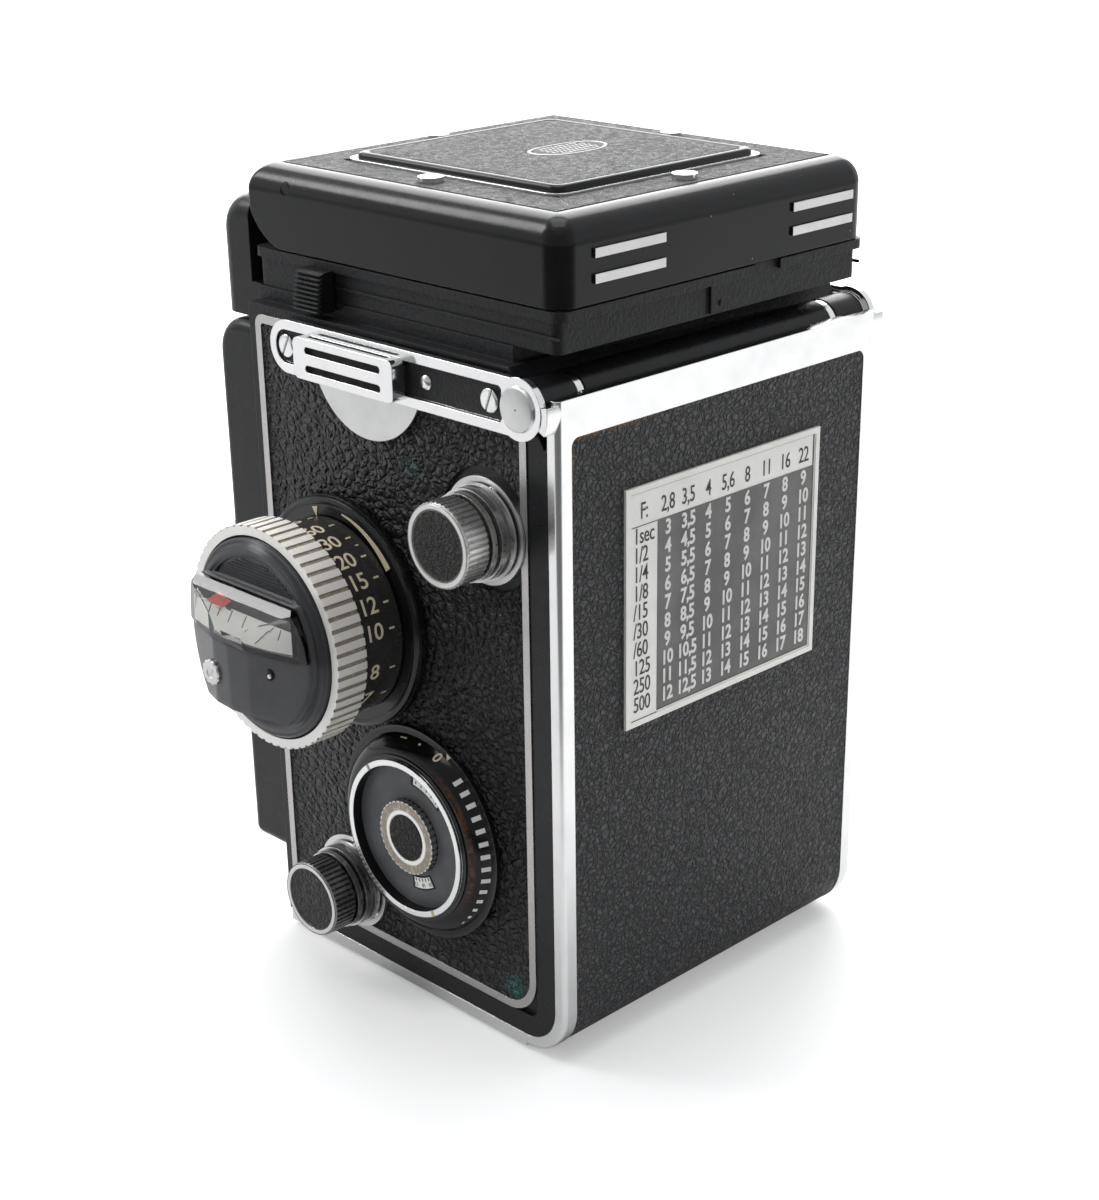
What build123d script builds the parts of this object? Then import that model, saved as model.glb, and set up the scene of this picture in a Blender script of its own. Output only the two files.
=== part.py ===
from build123d import *
from math import cos, sin, radians
import os

os.makedirs("parts", exist_ok=True)

# Frame: millimetres, +Z up, the lenses look along -Y, +X is the side with the focusing knob.
# The origin is the mouth of the tripod socket, on the plane the feet stand on.

# --- driving dimensions ---------------------------------------------------------------------
HALF_W = 39.0            # half width of the body and the door
BACK = 37.5              # outer face of the door
FRONT = -37.5            # front face of the body casting
DOOR_T = 2.35            # door thickness
DOOR_IN = BACK - DOOR_T  # inner face of the door
CAST_BACK = DOOR_IN - 0.05
BASE_Z = 0.8             # underside of the door's floor
FLOOR_IN = BASE_Z + DOOR_T
CAST_Z0 = FLOOR_IN + 0.05
CAST_TOP = 121.8         # shoulder of the body casting
DECK = 124.3             # deck the hood stands on
DOOR_TOP = 118.2
PIVOT_Y, PIVOT_Z = 30.9, 116.3   # door hinge
SWING_R = 7.2               # channel the door's top edge swings through
BAR_R = 4.15                # hinge bar inside it
DOOR_CORNER = 9.5
WALL_X = 33.6            # inner side of the film chambers
FRONT_IN = -35.1         # back of the casting's front wall
TOP_IN = 118.9           # underside of the casting's top wall
GATE_Y = 30.9            # film plane, at the back of the light box
BEAM_R = 8.6             # beam round the hinge channel

VIEW_Z, TAKE_Z = 96.0, 54.0      # lens axes
UP_Y, UP_Z = 21.3, 94.3          # take-up spool axis
LO_Y, LO_Z = -16.8, 17.0         # supply spool axis
FOC_Y, FOC_Z = -14.84, 71.1      # focusing knob axis
DIAL_Y, DIAL_Z = 2.84, 34.1      # exposure dial axis
CRANK_Y, CRANK_Z = -2.0, 70.0    # winding crank axis
ROLLER_Y, ROLLER_Z = 28.0, 9.2   # film roller axis
CHAMBER_R = 13.6                 # film chambers

TRIM_Y0, TRIM_Y1 = -35.7, 30.8   # bright line round the side leather
TRIM_Z0, TRIM_Z1 = 7.25, 120.2
TRIM_W = 1.57
SKIN_X = 38.2            # floor of the side recess

BOARD_HX = 37.5          # lens board
BOARD_Z0, BOARD_Z1 = 14.7, 117.5
BOARD_BACK, BOARD_FRONT = -38.0, -49.5

LID_HX = 36.9            # folding hood
LID_Y0, LID_Y1 = -38.9, 36.05
LID_Z0, LID_Z1 = 131.3, 144.9
LID_PY, LID_PZ = -28.4, 141.6    # lid hinge
LEAF_PX, LEAF_PY, LEAF_PZ = 34.2, 33.6, 129.8
LEAF_T = 0.5
BASE_TOP = 131.0


# --- helpers: every one adds to, or cuts from, the piece being built --------------------------
def plane_x(x, y=0, z=0, s=1):
    return Plane(origin=(x, y, z), x_dir=(0, s, 0), z_dir=(s, 0, 0))


def plane_front(y, x=0, z=0):
    return Plane(origin=(x, y, z), x_dir=(1, 0, 0), z_dir=(0, -1, 0))


def block(x0, x1, y0, y1, z0, z1, mode=Mode.ADD):
    with BuildSketch(Plane.XY.offset(z0)) as sk:
        with Locations(((x0 + x1) / 2, (y0 + y1) / 2)):
            Rectangle(x1 - x0, y1 - y0)
    extrude(sk.sketch, amount=z1 - z0, mode=mode)


def disc_x(x0, x1, y, z, r, mode=Mode.ADD):
    """Cylinder along X."""
    with BuildSketch(plane_x(min(x0, x1), y, z)) as sk:
        Circle(r)
    extrude(sk.sketch, amount=abs(x1 - x0), mode=mode)


def ring_x(x0, x1, y, z, r_out, r_in):
    with BuildSketch(plane_x(min(x0, x1), y, z)) as sk:
        Circle(r_out)
        Circle(r_in, mode=Mode.SUBTRACT)
    extrude(sk.sketch, amount=abs(x1 - x0))


def disc_f(y0, y1, x, z, r, mode=Mode.ADD):
    """Cylinder from y0 forward to y1 (y1 is the lower value)."""
    with BuildSketch(plane_front(y0, x, z)) as sk:
        Circle(r)
    extrude(sk.sketch, amount=y0 - y1, mode=mode)


def ring_f(y0, y1, x, z, r_out, r_in):
    with BuildSketch(plane_front(y0, x, z)) as sk:
        Circle(r_out)
        Circle(r_in, mode=Mode.SUBTRACT)
    extrude(sk.sketch, amount=y0 - y1)


def disc_z(z0, z1, x, y, r, mode=Mode.ADD):
    with BuildSketch(Plane.XY.offset(z0)) as sk:
        with Locations((x, y)):
            Circle(r)
    extrude(sk.sketch, amount=z1 - z0, mode=mode)


def side_poly(points, x0, x1, mode=Mode.ADD):
    """Outline given as (y, z) points, extruded from x0 to x1."""
    with BuildSketch(plane_x(x0)) as sk:
        with BuildLine():
            Polyline(*points, close=True)
        make_face()
    extrude(sk.sketch, amount=x1 - x0, mode=mode)


def sector(cy, cz, r, a0, a1, steps=12):
    """Points of a pie slice about (cy, cz), angles in degrees from +Y towards +Z."""
    arc = [radians(a0 + (a1 - a0) * i / steps) for i in range(steps + 1)]
    return [(cy, cz)] + [(cy + r * cos(a), cz + r * sin(a)) for a in arc]


def save(part, name):
    part.label = name
    export_step(part, f"parts/{name}.step")


# --- body casting -----------------------------------------------------------------------------
with BuildPart() as body_casting:
    with BuildSketch(plane_x(-HALF_W)):
        with BuildLine():
            r = DOOR_CORNER - DOOR_T
            Polyline((CAST_BACK, CAST_Z0 + r), (CAST_BACK, CAST_TOP - 1.5), (CAST_BACK - 3.5, CAST_TOP),
                     (FRONT, CAST_TOP), (FRONT, CAST_Z0), (CAST_BACK - r, CAST_Z0))
            RadiusArc((CAST_BACK - r, CAST_Z0), (CAST_BACK, CAST_Z0 + r), -r)
        make_face()
    extrude(amount=2 * HALF_W)
    # inside: open to the door, with a beam left across it for the hinge
    with BuildSketch(plane_x(-WALL_X)) as hollow:
        with Locations(((FRONT_IN + BACK) / 2, (TOP_IN + CAST_Z0 - 1) / 2)):
            Rectangle(BACK - FRONT_IN, TOP_IN - CAST_Z0 + 1)
        with Locations((PIVOT_Y, PIVOT_Z)):
            Circle(BEAM_R, mode=Mode.SUBTRACT)
    extrude(hollow.sketch, amount=2 * WALL_X, mode=Mode.SUBTRACT)
    # deck under the hood, and the opening the screen lies over
    block(-36.5, 36.5, FRONT, 25.5, CAST_TOP - 0.5, DECK)
    block(-27, 27, -33.5, 18.0, TOP_IN - 1, DECK + 1, mode=Mode.SUBTRACT)
    # channel the door's top edge swings through, and the hinge bar left inside it
    side_poly(sector(PIVOT_Y, PIVOT_Z, SWING_R, -60, 125), -HALF_W - 1, HALF_W + 1, mode=Mode.SUBTRACT)
    disc_x(-HALF_W, HALF_W, PIVOT_Y, PIVOT_Z, BAR_R)
    for x0 in (-31.8, 30.0):
        disc_x(x0, x0 + 1.8, PIVOT_Y, PIVOT_Z, BAR_R + 0.1, mode=Mode.SUBTRACT)
        disc_x(x0 - 0.2, x0 + 2.0, PIVOT_Y, PIVOT_Z, 1.2)
    # openings for the two lens tubes, cam chamber, follower slot and bearing of the focusing shaft
    disc_f(FRONT_IN + 1, FRONT - 1, 0, VIEW_Z, 14.2, mode=Mode.SUBTRACT)
    disc_f(FRONT_IN + 1, FRONT - 1, 0, TAKE_Z, 17.5, mode=Mode.SUBTRACT)
    disc_x(WALL_X - 1, 36.8, FOC_Y, FOC_Z, 12.4, mode=Mode.SUBTRACT)
    block(31.8, 35.4, FRONT - 1, FOC_Y, FOC_Z - 2.0, FOC_Z + 2.0, mode=Mode.SUBTRACT)
    disc_x(36.0, HALF_W + 1, FOC_Y, FOC_Z, 5.05, mode=Mode.SUBTRACT)
    # recesses for the side leather, bores for the spool knobs, crank and exposure dial
    for s in (-1, 1):
        with BuildSketch(plane_x(s * SKIN_X, s=s)):
            with Locations((s * (TRIM_Y0 + TRIM_Y1) / 2, (TRIM_Z0 + TRIM_Z1) / 2)):
                RectangleRounded(TRIM_Y1 - TRIM_Y0, TRIM_Z1 - TRIM_Z0, 2.0)
        extrude(amount=2, mode=Mode.SUBTRACT)
    for y, z in ((UP_Y, UP_Z), (LO_Y, LO_Z)):
        disc_x(33.0, HALF_W + 1, y, z, 2.5, mode=Mode.SUBTRACT)
    disc_x(-37.6, -33.0, UP_Y, UP_Z, 3.05, mode=Mode.SUBTRACT)
    disc_x(-HALF_W - 1, -35.0, CRANK_Y, CRANK_Z, 3.05, mode=Mode.SUBTRACT)
    disc_x(36.0, HALF_W + 1, DIAL_Y, DIAL_Z, 2.55, mode=Mode.SUBTRACT)
    # blind seats for the film roller
    disc_x(-35.0, 35.0, ROLLER_Y, ROLLER_Z, 1.05, mode=Mode.SUBTRACT)
save(body_casting.part, "body_casting")

# --- light box: mirror chamber above, light cone to the film gate below --------------------------
with BuildPart() as light_box:
    block(-WALL_X, WALL_X, FRONT_IN, GATE_Y, 14.0, TOP_IN)
    # film chambers: take-up at the top rear, supply at the bottom front
    disc_x(-WALL_X, WALL_X, UP_Y, UP_Z, CHAMBER_R, mode=Mode.SUBTRACT)
    disc_x(-WALL_X, WALL_X, LO_Y, LO_Z, CHAMBER_R, mode=Mode.SUBTRACT)
    block(-WALL_X, WALL_X, UP_Y, BACK, UP_Z - CHAMBER_R, UP_Z + CHAMBER_R, mode=Mode.SUBTRACT)
    block(-WALL_X, WALL_X, UP_Y - 4, BACK, UP_Z + CHAMBER_R - 3, TOP_IN + 1, mode=Mode.SUBTRACT)
    # viewing chamber above the mirror
    side_poly([(FRONT_IN - 1, 73), (-25.5, 73), (18.0, 116.5), (18.0, TOP_IN + 1),
               (FRONT_IN - 1, TOP_IN + 1)], -30, 30, mode=Mode.SUBTRACT)
    # light cone from the taking lens to the film gate
    disc_f(-24.0, FRONT, 0, TAKE_Z, 17.5, mode=Mode.SUBTRACT)
    side_poly([(-24.2, TAKE_Z - 17), (GATE_Y, TAKE_Z - 28), (GATE_Y, TAKE_Z + 28), (-24.2, TAKE_Z + 17)],
              -28, 28, mode=Mode.SUBTRACT)
    # room for the cam and its follower
    disc_x(31.0, WALL_X, FOC_Y, FOC_Z, 12.4, mode=Mode.SUBTRACT)
    block(31.8, WALL_X, FRONT, FOC_Y, FOC_Z - 2.0, FOC_Z + 2.0, mode=Mode.SUBTRACT)
save(light_box.part, "light_box")


# --- side dressing ----------------------------------------------------------------------------
def side_frame(s, inset, x0, x1, mode=Mode.ADD):
    """Rounded rectangle of the side, `inset` in from the trim's outer line; rear foot corner R7."""
    y0, y1 = TRIM_Y0 + inset, TRIM_Y1 - inset
    z0, z1 = TRIM_Z0 + inset, TRIM_Z1 - inset
    r = max(2.0 - inset, 0.6)
    big = 7.0 - inset
    with BuildSketch(plane_x(s * x0, s=s)) as sk:
        with Locations((s * (y0 + y1) / 2, (z0 + z1) / 2)):
            RectangleRounded(y1 - y0, z1 - z0, r)
        # fill the big rear foot corner: cut the square corner, add the quarter disc back
        with Locations((s * (y1 - big / 2), z0 + big / 2)):
            Rectangle(big, big, mode=Mode.SUBTRACT)
        with Locations((s * (y1 - big), z0 + big)):
            Circle(big)
    extrude(sk.sketch, amount=x1 - x0, mode=mode)


with BuildPart() as side_trims:
    for s in (-1, 1):
        side_frame(s, 0.05, SKIN_X, 39.25)
    for s in (-1, 1):
        side_frame(s, TRIM_W, SKIN_X - 1, 41, mode=Mode.SUBTRACT)
    # swell round the upper flange
    with BuildSketch(plane_x(SKIN_X, UP_Y, UP_Z)):
        Circle(10.4)
        with Locations((-4, 0), (21.45, 0)):
            Rectangle(24, 24, mode=Mode.SUBTRACT)
    extrude(amount=39.25 - SKIN_X)
    for y, z in ((UP_Y, UP_Z), (LO_Y, LO_Z)):
        disc_x(SKIN_X - 1, 41, y, z, 9.1, mode=Mode.SUBTRACT)
save(side_trims.part, "side_trims")

GUARD_Y, GUARD_Z, GUARD_R = -6.1, 117.7, 14.0

with BuildPart() as side_leathers:
    for s in (-1, 1):
        side_frame(s, TRIM_W + 0.05, SKIN_X, 39.1)
    for y, z, r in ((UP_Y, UP_Z, 10.45), (LO_Y, LO_Z, 9.1), (FOC_Y, FOC_Z, 6.0), (DIAL_Y, DIAL_Z, 3.0)):
        disc_x(SKIN_X - 1, 41, y, z, r, mode=Mode.SUBTRACT)
    disc_x(-41, -SKIN_X + 1, CRANK_Y, CRANK_Z, 6.0, mode=Mode.SUBTRACT)
save(side_leathers.part, "side_leathers")

PLATE_X0, PLATE_X1 = 39.75, 41.0
PLATE_Y0, PLATE_H, PLATE_Z = -29.4, 9.2, 116.4
SCREW_Y = (-25.5, 24.3)
RIVET_Y = 9.3

with BuildPart() as guard_plates:
    for s in (-1, 1):
        with BuildSketch(plane_x(s * 39.3, s=s)):
            with Locations((s * GUARD_Y, GUARD_Z)):
                Circle(GUARD_R)
            with Locations((s * GUARD_Y, GUARD_Z + 7)):
                Rectangle(40, 18, mode=Mode.SUBTRACT)
        extrude(amount=0.45)
save(guard_plates.part, "guard_plates")

with BuildPart() as strap_plates:
    for s in (-1, 1):
        with BuildSketch(plane_x(s * PLATE_X0, s=s)):
            with Locations((s * (PLATE_Y0 + PIVOT_Y) / 2, PLATE_Z)):
                Rectangle(PIVOT_Y - PLATE_Y0 - PLATE_H, PLATE_H)
            with Locations((s * (PLATE_Y0 + PLATE_H / 2), PLATE_Z)):
                Circle(PLATE_H / 2)
            with Locations((s * (PIVOT_Y - PLATE_H / 2), PLATE_Z)):
                Rectangle(PLATE_H, PLATE_H)
            with Locations((s * PIVOT_Y, PIVOT_Z)):
                Circle(5.0)
        extrude(amount=PLATE_X1 - PLATE_X0)
        # sunk black channel
        with BuildSketch(plane_x(s * (PLATE_X1 - 0.8), s=s)):
            with Locations((s * -0.2, PLATE_Z)):
                RectangleRounded(55.2, PLATE_H - 3.4, 2.6)
            with Locations((s * 17.4, PLATE_Z)):
                RectangleRounded(20.0, PLATE_H - 3.4, 0.8)
        extrude(amount=1, mode=Mode.SUBTRACT)
        # pivot cap and backing pads
        disc_x(s * PLATE_X1, s * (PLATE_X1 + 0.3), PIVOT_Y, PIVOT_Z, 3.6)
        disc_x(s * 39.0, s * PLATE_X0, PIVOT_Y, PIVOT_Z, 4.2)
    for s in (-1, 1):
        side_frame(s, -0.1, 38.0, 39.3, mode=Mode.SUBTRACT)
save(strap_plates.part, "strap_plates")

LUG_Y0, LUG_Y1, LUG_Z0, LUG_Z1 = -20.0, 5.0, 112.6, 119.6

with BuildPart() as strap_lugs:
    for s in (-1, 1):
        with BuildSketch(plane_x(s * (PLATE_X1 - 0.8), s=s)):
            with Locations((s * (LUG_Y0 + LUG_Y1) / 2, (LUG_Z0 + LUG_Z1) / 2)):
                Rectangle(LUG_Y1 - LUG_Y0 - 1.2, 4.6)
        extrude(amount=0.8)
        with BuildSketch(plane_x(s * PLATE_X1, s=s)):
            with Locations((s * (LUG_Y0 + LUG_Y1) / 2, (LUG_Z0 + LUG_Z1) / 2)):
                RectangleRounded(LUG_Y1 - LUG_Y0, LUG_Z1 - LUG_Z0, 1.2)
        extrude(amount=2.6)
        # two strap slots and the hollow behind them
        with BuildSketch(plane_x(s * (PLATE_X1 + 0.6), s=s)):
            for dz in (-1.55, 1.55):
                with Locations((s * (LUG_Y0 + LUG_Y1) / 2, (LUG_Z0 + LUG_Z1) / 2 + dz)):
                    SlotOverall(19.0, 1.25)
        extrude(amount=3, mode=Mode.SUBTRACT)
        with BuildSketch(plane_x(s * (PLATE_X1 + 0.6), s=s)):
            with Locations((s * (LUG_Y0 + LUG_Y1) / 2, (LUG_Z0 + LUG_Z1) / 2)):
                Rectangle(20.0, 8.0)
        extrude(amount=1.0, mode=Mode.SUBTRACT)
save(strap_lugs.part, "strap_lugs")

with BuildPart() as spool_flanges:
    for y, z in ((UP_Y, UP_Z), (LO_Y, LO_Z)):
        ring_x(SKIN_X, 39.8, y, z, 9.0, 2.55)
save(spool_flanges.part, "spool_flanges")

FLANGE_SCREWS = [(UP_Y + 2.1, UP_Z + 6.9), (UP_Y + 2.6, UP_Z - 6.8),
                 (LO_Y + 1.4, LO_Z + 7.3), (LO_Y + 6.0, LO_Z - 4.6)]

with BuildPart() as body_screws:
    for s in (-1, 1):
        for y in SCREW_Y:
            disc_x(s * (PLATE_X1 - 0.8), s * (PLATE_X1 - 0.1), y, PLATE_Z, 1.95)
        disc_x(s * (PLATE_X1 - 0.8), s * (PLATE_X1 - 0.2), RIVET_Y, PLATE_Z, 1.25)
    for y, z in FLANGE_SCREWS:
        disc_x(39.8, 40.1, y, z, 0.75)
save(body_screws.part, "body_screws")

# --- fixed rings under the focusing knob and the exposure dial ---------------------------------
with BuildPart() as focus_base_ring:
    ring_x(39.3, 40.6, FOC_Y, FOC_Z, 20.9, 6.0)
    ring_x(40.6, 41.4, FOC_Y, FOC_Z, 19.4, 17.0)
save(focus_base_ring.part, "focus_base_ring")

with BuildPart() as dial_base_ring:
    ring_x(39.3, 40.1, DIAL_Y, DIAL_Z, 19.8, 2.6)
    ring_x(40.1, 40.5, DIAL_Y, DIAL_Z, 18.2, 15.6)
    disc_x(38, 42, LO_Y, LO_Z, 9.2, mode=Mode.SUBTRACT)
save(dial_base_ring.part, "dial_base_ring")

# --- focusing knob ------------------------------------------------------------------------------
GRIP_TEETH = 60

with BuildPart() as focus_grip:
    with BuildSketch(plane_x(51.5, FOC_Y, FOC_Z)):
        Circle(19.7)
        with PolarLocations(19.85, GRIP_TEETH):
            Rectangle(0.8, 0.75, mode=Mode.SUBTRACT)
    extrude(amount=6.1)
    disc_x(52.7, 60, FOC_Y, FOC_Z, 17.95, mode=Mode.SUBTRACT)
    disc_x(50, 60, FOC_Y, FOC_Z, 5.05, mode=Mode.SUBTRACT)
save(focus_grip.part, "focus_grip")

with BuildPart() as focus_scale_ring:
    ring_x(41.8, 51.5, FOC_Y, FOC_Z, 17.4, 15.8)
    ring_x(50.3, 51.5, FOC_Y, FOC_Z, 16.5, 5.05)
save(focus_scale_ring.part, "focus_scale_ring")

CAM_R0, CAM_LIFT, CAM_TURN = 3.9, 7.5, 270.0   # radius at infinity, lift, and turn of the knob

with BuildPart() as focus_cam:
    # spiral plate: its radius on the -Y side grows evenly as the knob turns
    spiral = []
    for i in range(55):
        t = CAM_TURN * i / 54
        a = radians(180 - t)
        spiral.append((FOC_Y + (CAM_R0 + CAM_LIFT * t / CAM_TURN) * cos(a),
                       FOC_Z + (CAM_R0 + CAM_LIFT * t / CAM_TURN) * sin(a)))
    with BuildSketch(plane_x(32.8)):
        with BuildLine():
            Polyline(*spiral, (FOC_Y - 2.0, FOC_Z - 3.3), close=True)
        make_face()
    extrude(amount=2.4)
    disc_x(32.8, 36.7, FOC_Y, FOC_Z, 3.6)
    disc_x(36.7, 52.7, FOC_Y, FOC_Z, 5.0)
    disc_x(32, 53, FOC_Y, FOC_Z, 2.55, mode=Mode.SUBTRACT)
save(focus_cam.part, "focus_cam")



def roof(outline):
    """Keeps only what lies within an outline of (x, y from the knob's axis), seen along Z."""
    with BuildSketch(Plane.XY.offset(FOC_Z - 25)) as sk:
        with BuildLine():
            Polyline(*[(x, FOC_Y + y) for x, y in outline], close=True)
        make_face()
    extrude(sk.sketch, amount=50, mode=Mode.INTERSECT)


def side_dome(outline, half):
    """Outline of (x, z from the knob's axis) drawn out along Y to both sides of the axis."""
    with BuildSketch(Plane.XZ.offset(-FOC_Y - half)) as sk:
        with BuildLine():
            Polyline(*[(x, FOC_Z + z) for x, z in outline], close=True)
        make_face()
    extrude(sk.sketch, amount=2 * half)


with BuildPart() as meter_core:
    disc_x(31.0, 53.0, FOC_Y, FOC_Z, 2.5)
    disc_x(53.0, 57.9, FOC_Y, FOC_Z, 17.6)
    disc_x(57.9, 58.9, FOC_Y, FOC_Z, 16.4)
    # bar across the face that carries the meter
    with BuildSketch(plane_x(58.9, FOC_Y, FOC_Z)):
        Circle(15.9)
        with Locations((0, 13.8)):
            Rectangle(40, 8.6, mode=Mode.SUBTRACT)
        with Locations((0, -17.2)):
            Rectangle(40, 11, mode=Mode.SUBTRACT)
    extrude(amount=5.2)
    # the bar falls away to both ends
    roof([(58.0, -18), (60.2, -17), (63.5, -6.5), (63.9, -2), (63.5, 3), (60.0, 17), (58.0, 18), (50.0, 18),
          (50.0, 22), (30, 22), (30, -22), (50.0, -22), (50.0, -18)])
    # sunk panels above and below the bar
    with BuildSketch(plane_x(58.4, FOC_Y, FOC_Z)):
        Circle(14.6)
        with Locations((0, -1.1)):
            Rectangle(40, 21.6, mode=Mode.SUBTRACT)
    extrude(amount=2, mode=Mode.SUBTRACT)
    # trough for the scale and needle
    with BuildSketch(plane_x(60.2, FOC_Y, FOC_Z)):
        with Locations((0, 5.0)):
            Rectangle(40, 9.0)
    extrude(amount=5, mode=Mode.SUBTRACT)
save(meter_core.part, "meter_core")

with BuildPart() as window_hollow:
    side_dome([(60.0, 1.4), (63.4, 1.4), (63.6, 2.4), (63.3, 4.2), (62.6, 5.9), (61.6, 7.6), (61.4, 8.2),
               (60.0, 8.2)], 13.0)
    roof([(59.0, -13.0), (61.6, -13.0), (63.6, -5.0), (63.6, 2.0), (61.6, 13.0), (59.0, 13.0)])

with BuildPart() as meter_window:
    side_dome([(60.2, 0.6), (64.3, 0.6), (64.6, 2.0), (64.3, 4.2), (63.5, 6.2), (62.4, 8.0), (61.2, 9.4),
               (60.2, 9.4)], 16.0)
    roof([(60.0, -16), (60.9, -16), (62.6, -12), (64.0, -6.5), (64.6, -2), (64.4, 3), (63.2, 9),
          (60.9, 16), (60.0, 16)])
    with BuildSketch(plane_x(60.2, FOC_Y, FOC_Z)) as bounds:
        Circle(15.8)
    extrude(bounds.sketch, amount=6, mode=Mode.INTERSECT)
    add(window_hollow.part, mode=Mode.SUBTRACT)
save(meter_window.part, "meter_window")

with BuildPart() as meter_needle:
    disc_x(60.4, 61.4, FOC_Y - 1.0, FOC_Z + 2.9, 0.9)
    side_poly([(FOC_Y - 1.2, FOC_Z + 2.7), (FOC_Y - 0.8, FOC_Z + 3.1), (FOC_Y - 7.0, FOC_Z + 7.1),
               (FOC_Y - 7.5, FOC_Z + 6.6)], 60.6, 61.0)
    side_poly([(FOC_Y - 5.4, FOC_Z + 5.2), (FOC_Y - 5.0, FOC_Z + 6.2), (FOC_Y - 8.6, FOC_Z + 7.6)],
              60.6, 61.0)
save(meter_needle.part, "meter_needle")

# --- exposure dial -----------------------------------------------------------------------------
with BuildPart() as film_speed_dial:
    disc_x(40.6, 41.8, DIAL_Y, DIAL_Z, 15.4)
    ring_x(41.8, 43.2, DIAL_Y, DIAL_Z, 15.4, 13.5)
    ring_x(43.2, 43.8, DIAL_Y, DIAL_Z, 14.55, 13.5)
    disc_x(36.6, 40.6, DIAL_Y, DIAL_Z, 2.5)
    disc_x(36, 44, DIAL_Y, DIAL_Z, 1.55, mode=Mode.SUBTRACT)
save(film_speed_dial.part, "film_speed_dial")

KNOB_TEETH = 36

with BuildPart() as film_speed_knob:
    disc_x(36.6, 41.9, DIAL_Y, DIAL_Z, 1.5)
    with BuildSketch(plane_x(41.9, DIAL_Y, DIAL_Z)):
        Circle(6.85)
        with PolarLocations(6.95, KNOB_TEETH):
            Rectangle(0.5, 0.5, mode=Mode.SUBTRACT)
    extrude(amount=1.3)
    disc_x(42.9, 44, DIAL_Y, DIAL_Z, 4.4, mode=Mode.SUBTRACT)
    disc_x(42.9, 43.15, DIAL_Y, DIAL_Z, 4.3)
save(film_speed_knob.part, "film_speed_knob")


# --- spool knobs --------------------------------------------------------------------------------
def spool_knob(y, z):
    disc_x(31.8, 40.2, y, z, 2.45)
    for x0, x1, r in ((40.2, 41.2, 8.0), (41.2, 41.8, 7.0), (41.8, 43.0, 7.7), (43.0, 43.6, 6.6),
                      (43.6, 44.6, 7.3), (44.6, 45.2, 6.5)):
        disc_x(x0, x1, y, z, r)
    with BuildSketch(plane_x(45.2, y, z)) as sk:
        Circle(7.05)
        with PolarLocations(7.15, 44):
            Rectangle(0.5, 0.45, mode=Mode.SUBTRACT)
    extrude(sk.sketch, amount=4.2)
    disc_x(49.4, 49.8, y, z, 6.9)
    disc_x(49.4, 50.0, y, z, 5.95, mode=Mode.SUBTRACT)
    disc_x(49.4, 49.7, y, z, 5.85)


with BuildPart() as upper_spool_knob:
    spool_knob(UP_Y, UP_Z)
save(upper_spool_knob.part, "upper_spool_knob")

with BuildPart() as lower_spool_knob:
    spool_knob(LO_Y, LO_Z)
save(lower_spool_knob.part, "lower_spool_knob")

# --- film transport -----------------------------------------------------------------------------
SPOOL_HL = 32.8          # half length of a roll-film spool

with BuildPart() as take_up_spool:
    disc_x(-SPOOL_HL, SPOOL_HL, UP_Y, UP_Z, 6.2)
    for x0 in (-SPOOL_HL, SPOOL_HL - 1.0):
        disc_x(x0, x0 + 1.0, UP_Y, UP_Z, 12.5)
    for x0 in (-SPOOL_HL - 1, SPOOL_HL - 8):
        disc_x(x0, x0 + 9, UP_Y, UP_Z, 2.6, mode=Mode.SUBTRACT)
    with BuildSketch(Plane(origin=(0, UP_Y, UP_Z), x_dir=(1, 0, 0), z_dir=(0, 1, 0))):
        SlotOverall(50, 1.4)
    extrude(amount=7, both=True, mode=Mode.SUBTRACT)
save(take_up_spool.part, "take_up_spool")

with BuildPart() as wind_spindle:
    disc_x(-37.5, -33.4, UP_Y, UP_Z, 3.0)
    disc_x(-33.4, -28.6, UP_Y, UP_Z, 2.5)
save(wind_spindle.part, "wind_spindle")

with BuildPart() as film_roller:
    disc_x(-33.3, 33.3, ROLLER_Y, ROLLER_Z, 2.6)
    disc_x(-34.8, 34.8, ROLLER_Y, ROLLER_Z, 1.0)
save(film_roller.part, "film_roller")

# --- winding crank on the far side ----------------------------------------------------------------
with BuildPart() as crank_base:
    ring_x(-41.0, -39.1, CRANK_Y, CRANK_Z, 13.0, 3.1)
    ring_x(-41.5, -41.0, CRANK_Y, CRANK_Z, 12.2, 11.0)
save(crank_base.part, "crank_base")

CRANK_L = 25.0

with BuildPart() as crank_arm:
    disc_x(-44.2, -35.2, CRANK_Y, CRANK_Z, 3.0)
    disc_x(-44.2, -41.8, CRANK_Y, CRANK_Z, 8.0)
    with BuildSketch(plane_x(-44.2, 0, 0)):
        with BuildLine():
            Polyline((CRANK_Y - 4.6, CRANK_Z), (CRANK_Y + 4.6, CRANK_Z),
                     (CRANK_Y + 3.6, CRANK_Z - CRANK_L), (CRANK_Y - 3.6, CRANK_Z - CRANK_L), close=True)
        make_face()
        with Locations((CRANK_Y, CRANK_Z - CRANK_L)):
            Circle(3.6)
    extrude(amount=2.4)
    disc_x(-46, -41, CRANK_Y, CRANK_Z - CRANK_L, 1.55, mode=Mode.SUBTRACT)
save(crank_arm.part, "crank_arm")

with BuildPart() as crank_handle:
    disc_x(-45.0, -41.6, CRANK_Y, CRANK_Z - CRANK_L, 1.5)
    disc_x(-48.6, -44.5, CRANK_Y, CRANK_Z - CRANK_L, 3.4)
    disc_x(-50.8, -48.6, CRANK_Y, CRANK_Z - CRANK_L, 4.2)
save(crank_handle.part, "crank_handle")

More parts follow.
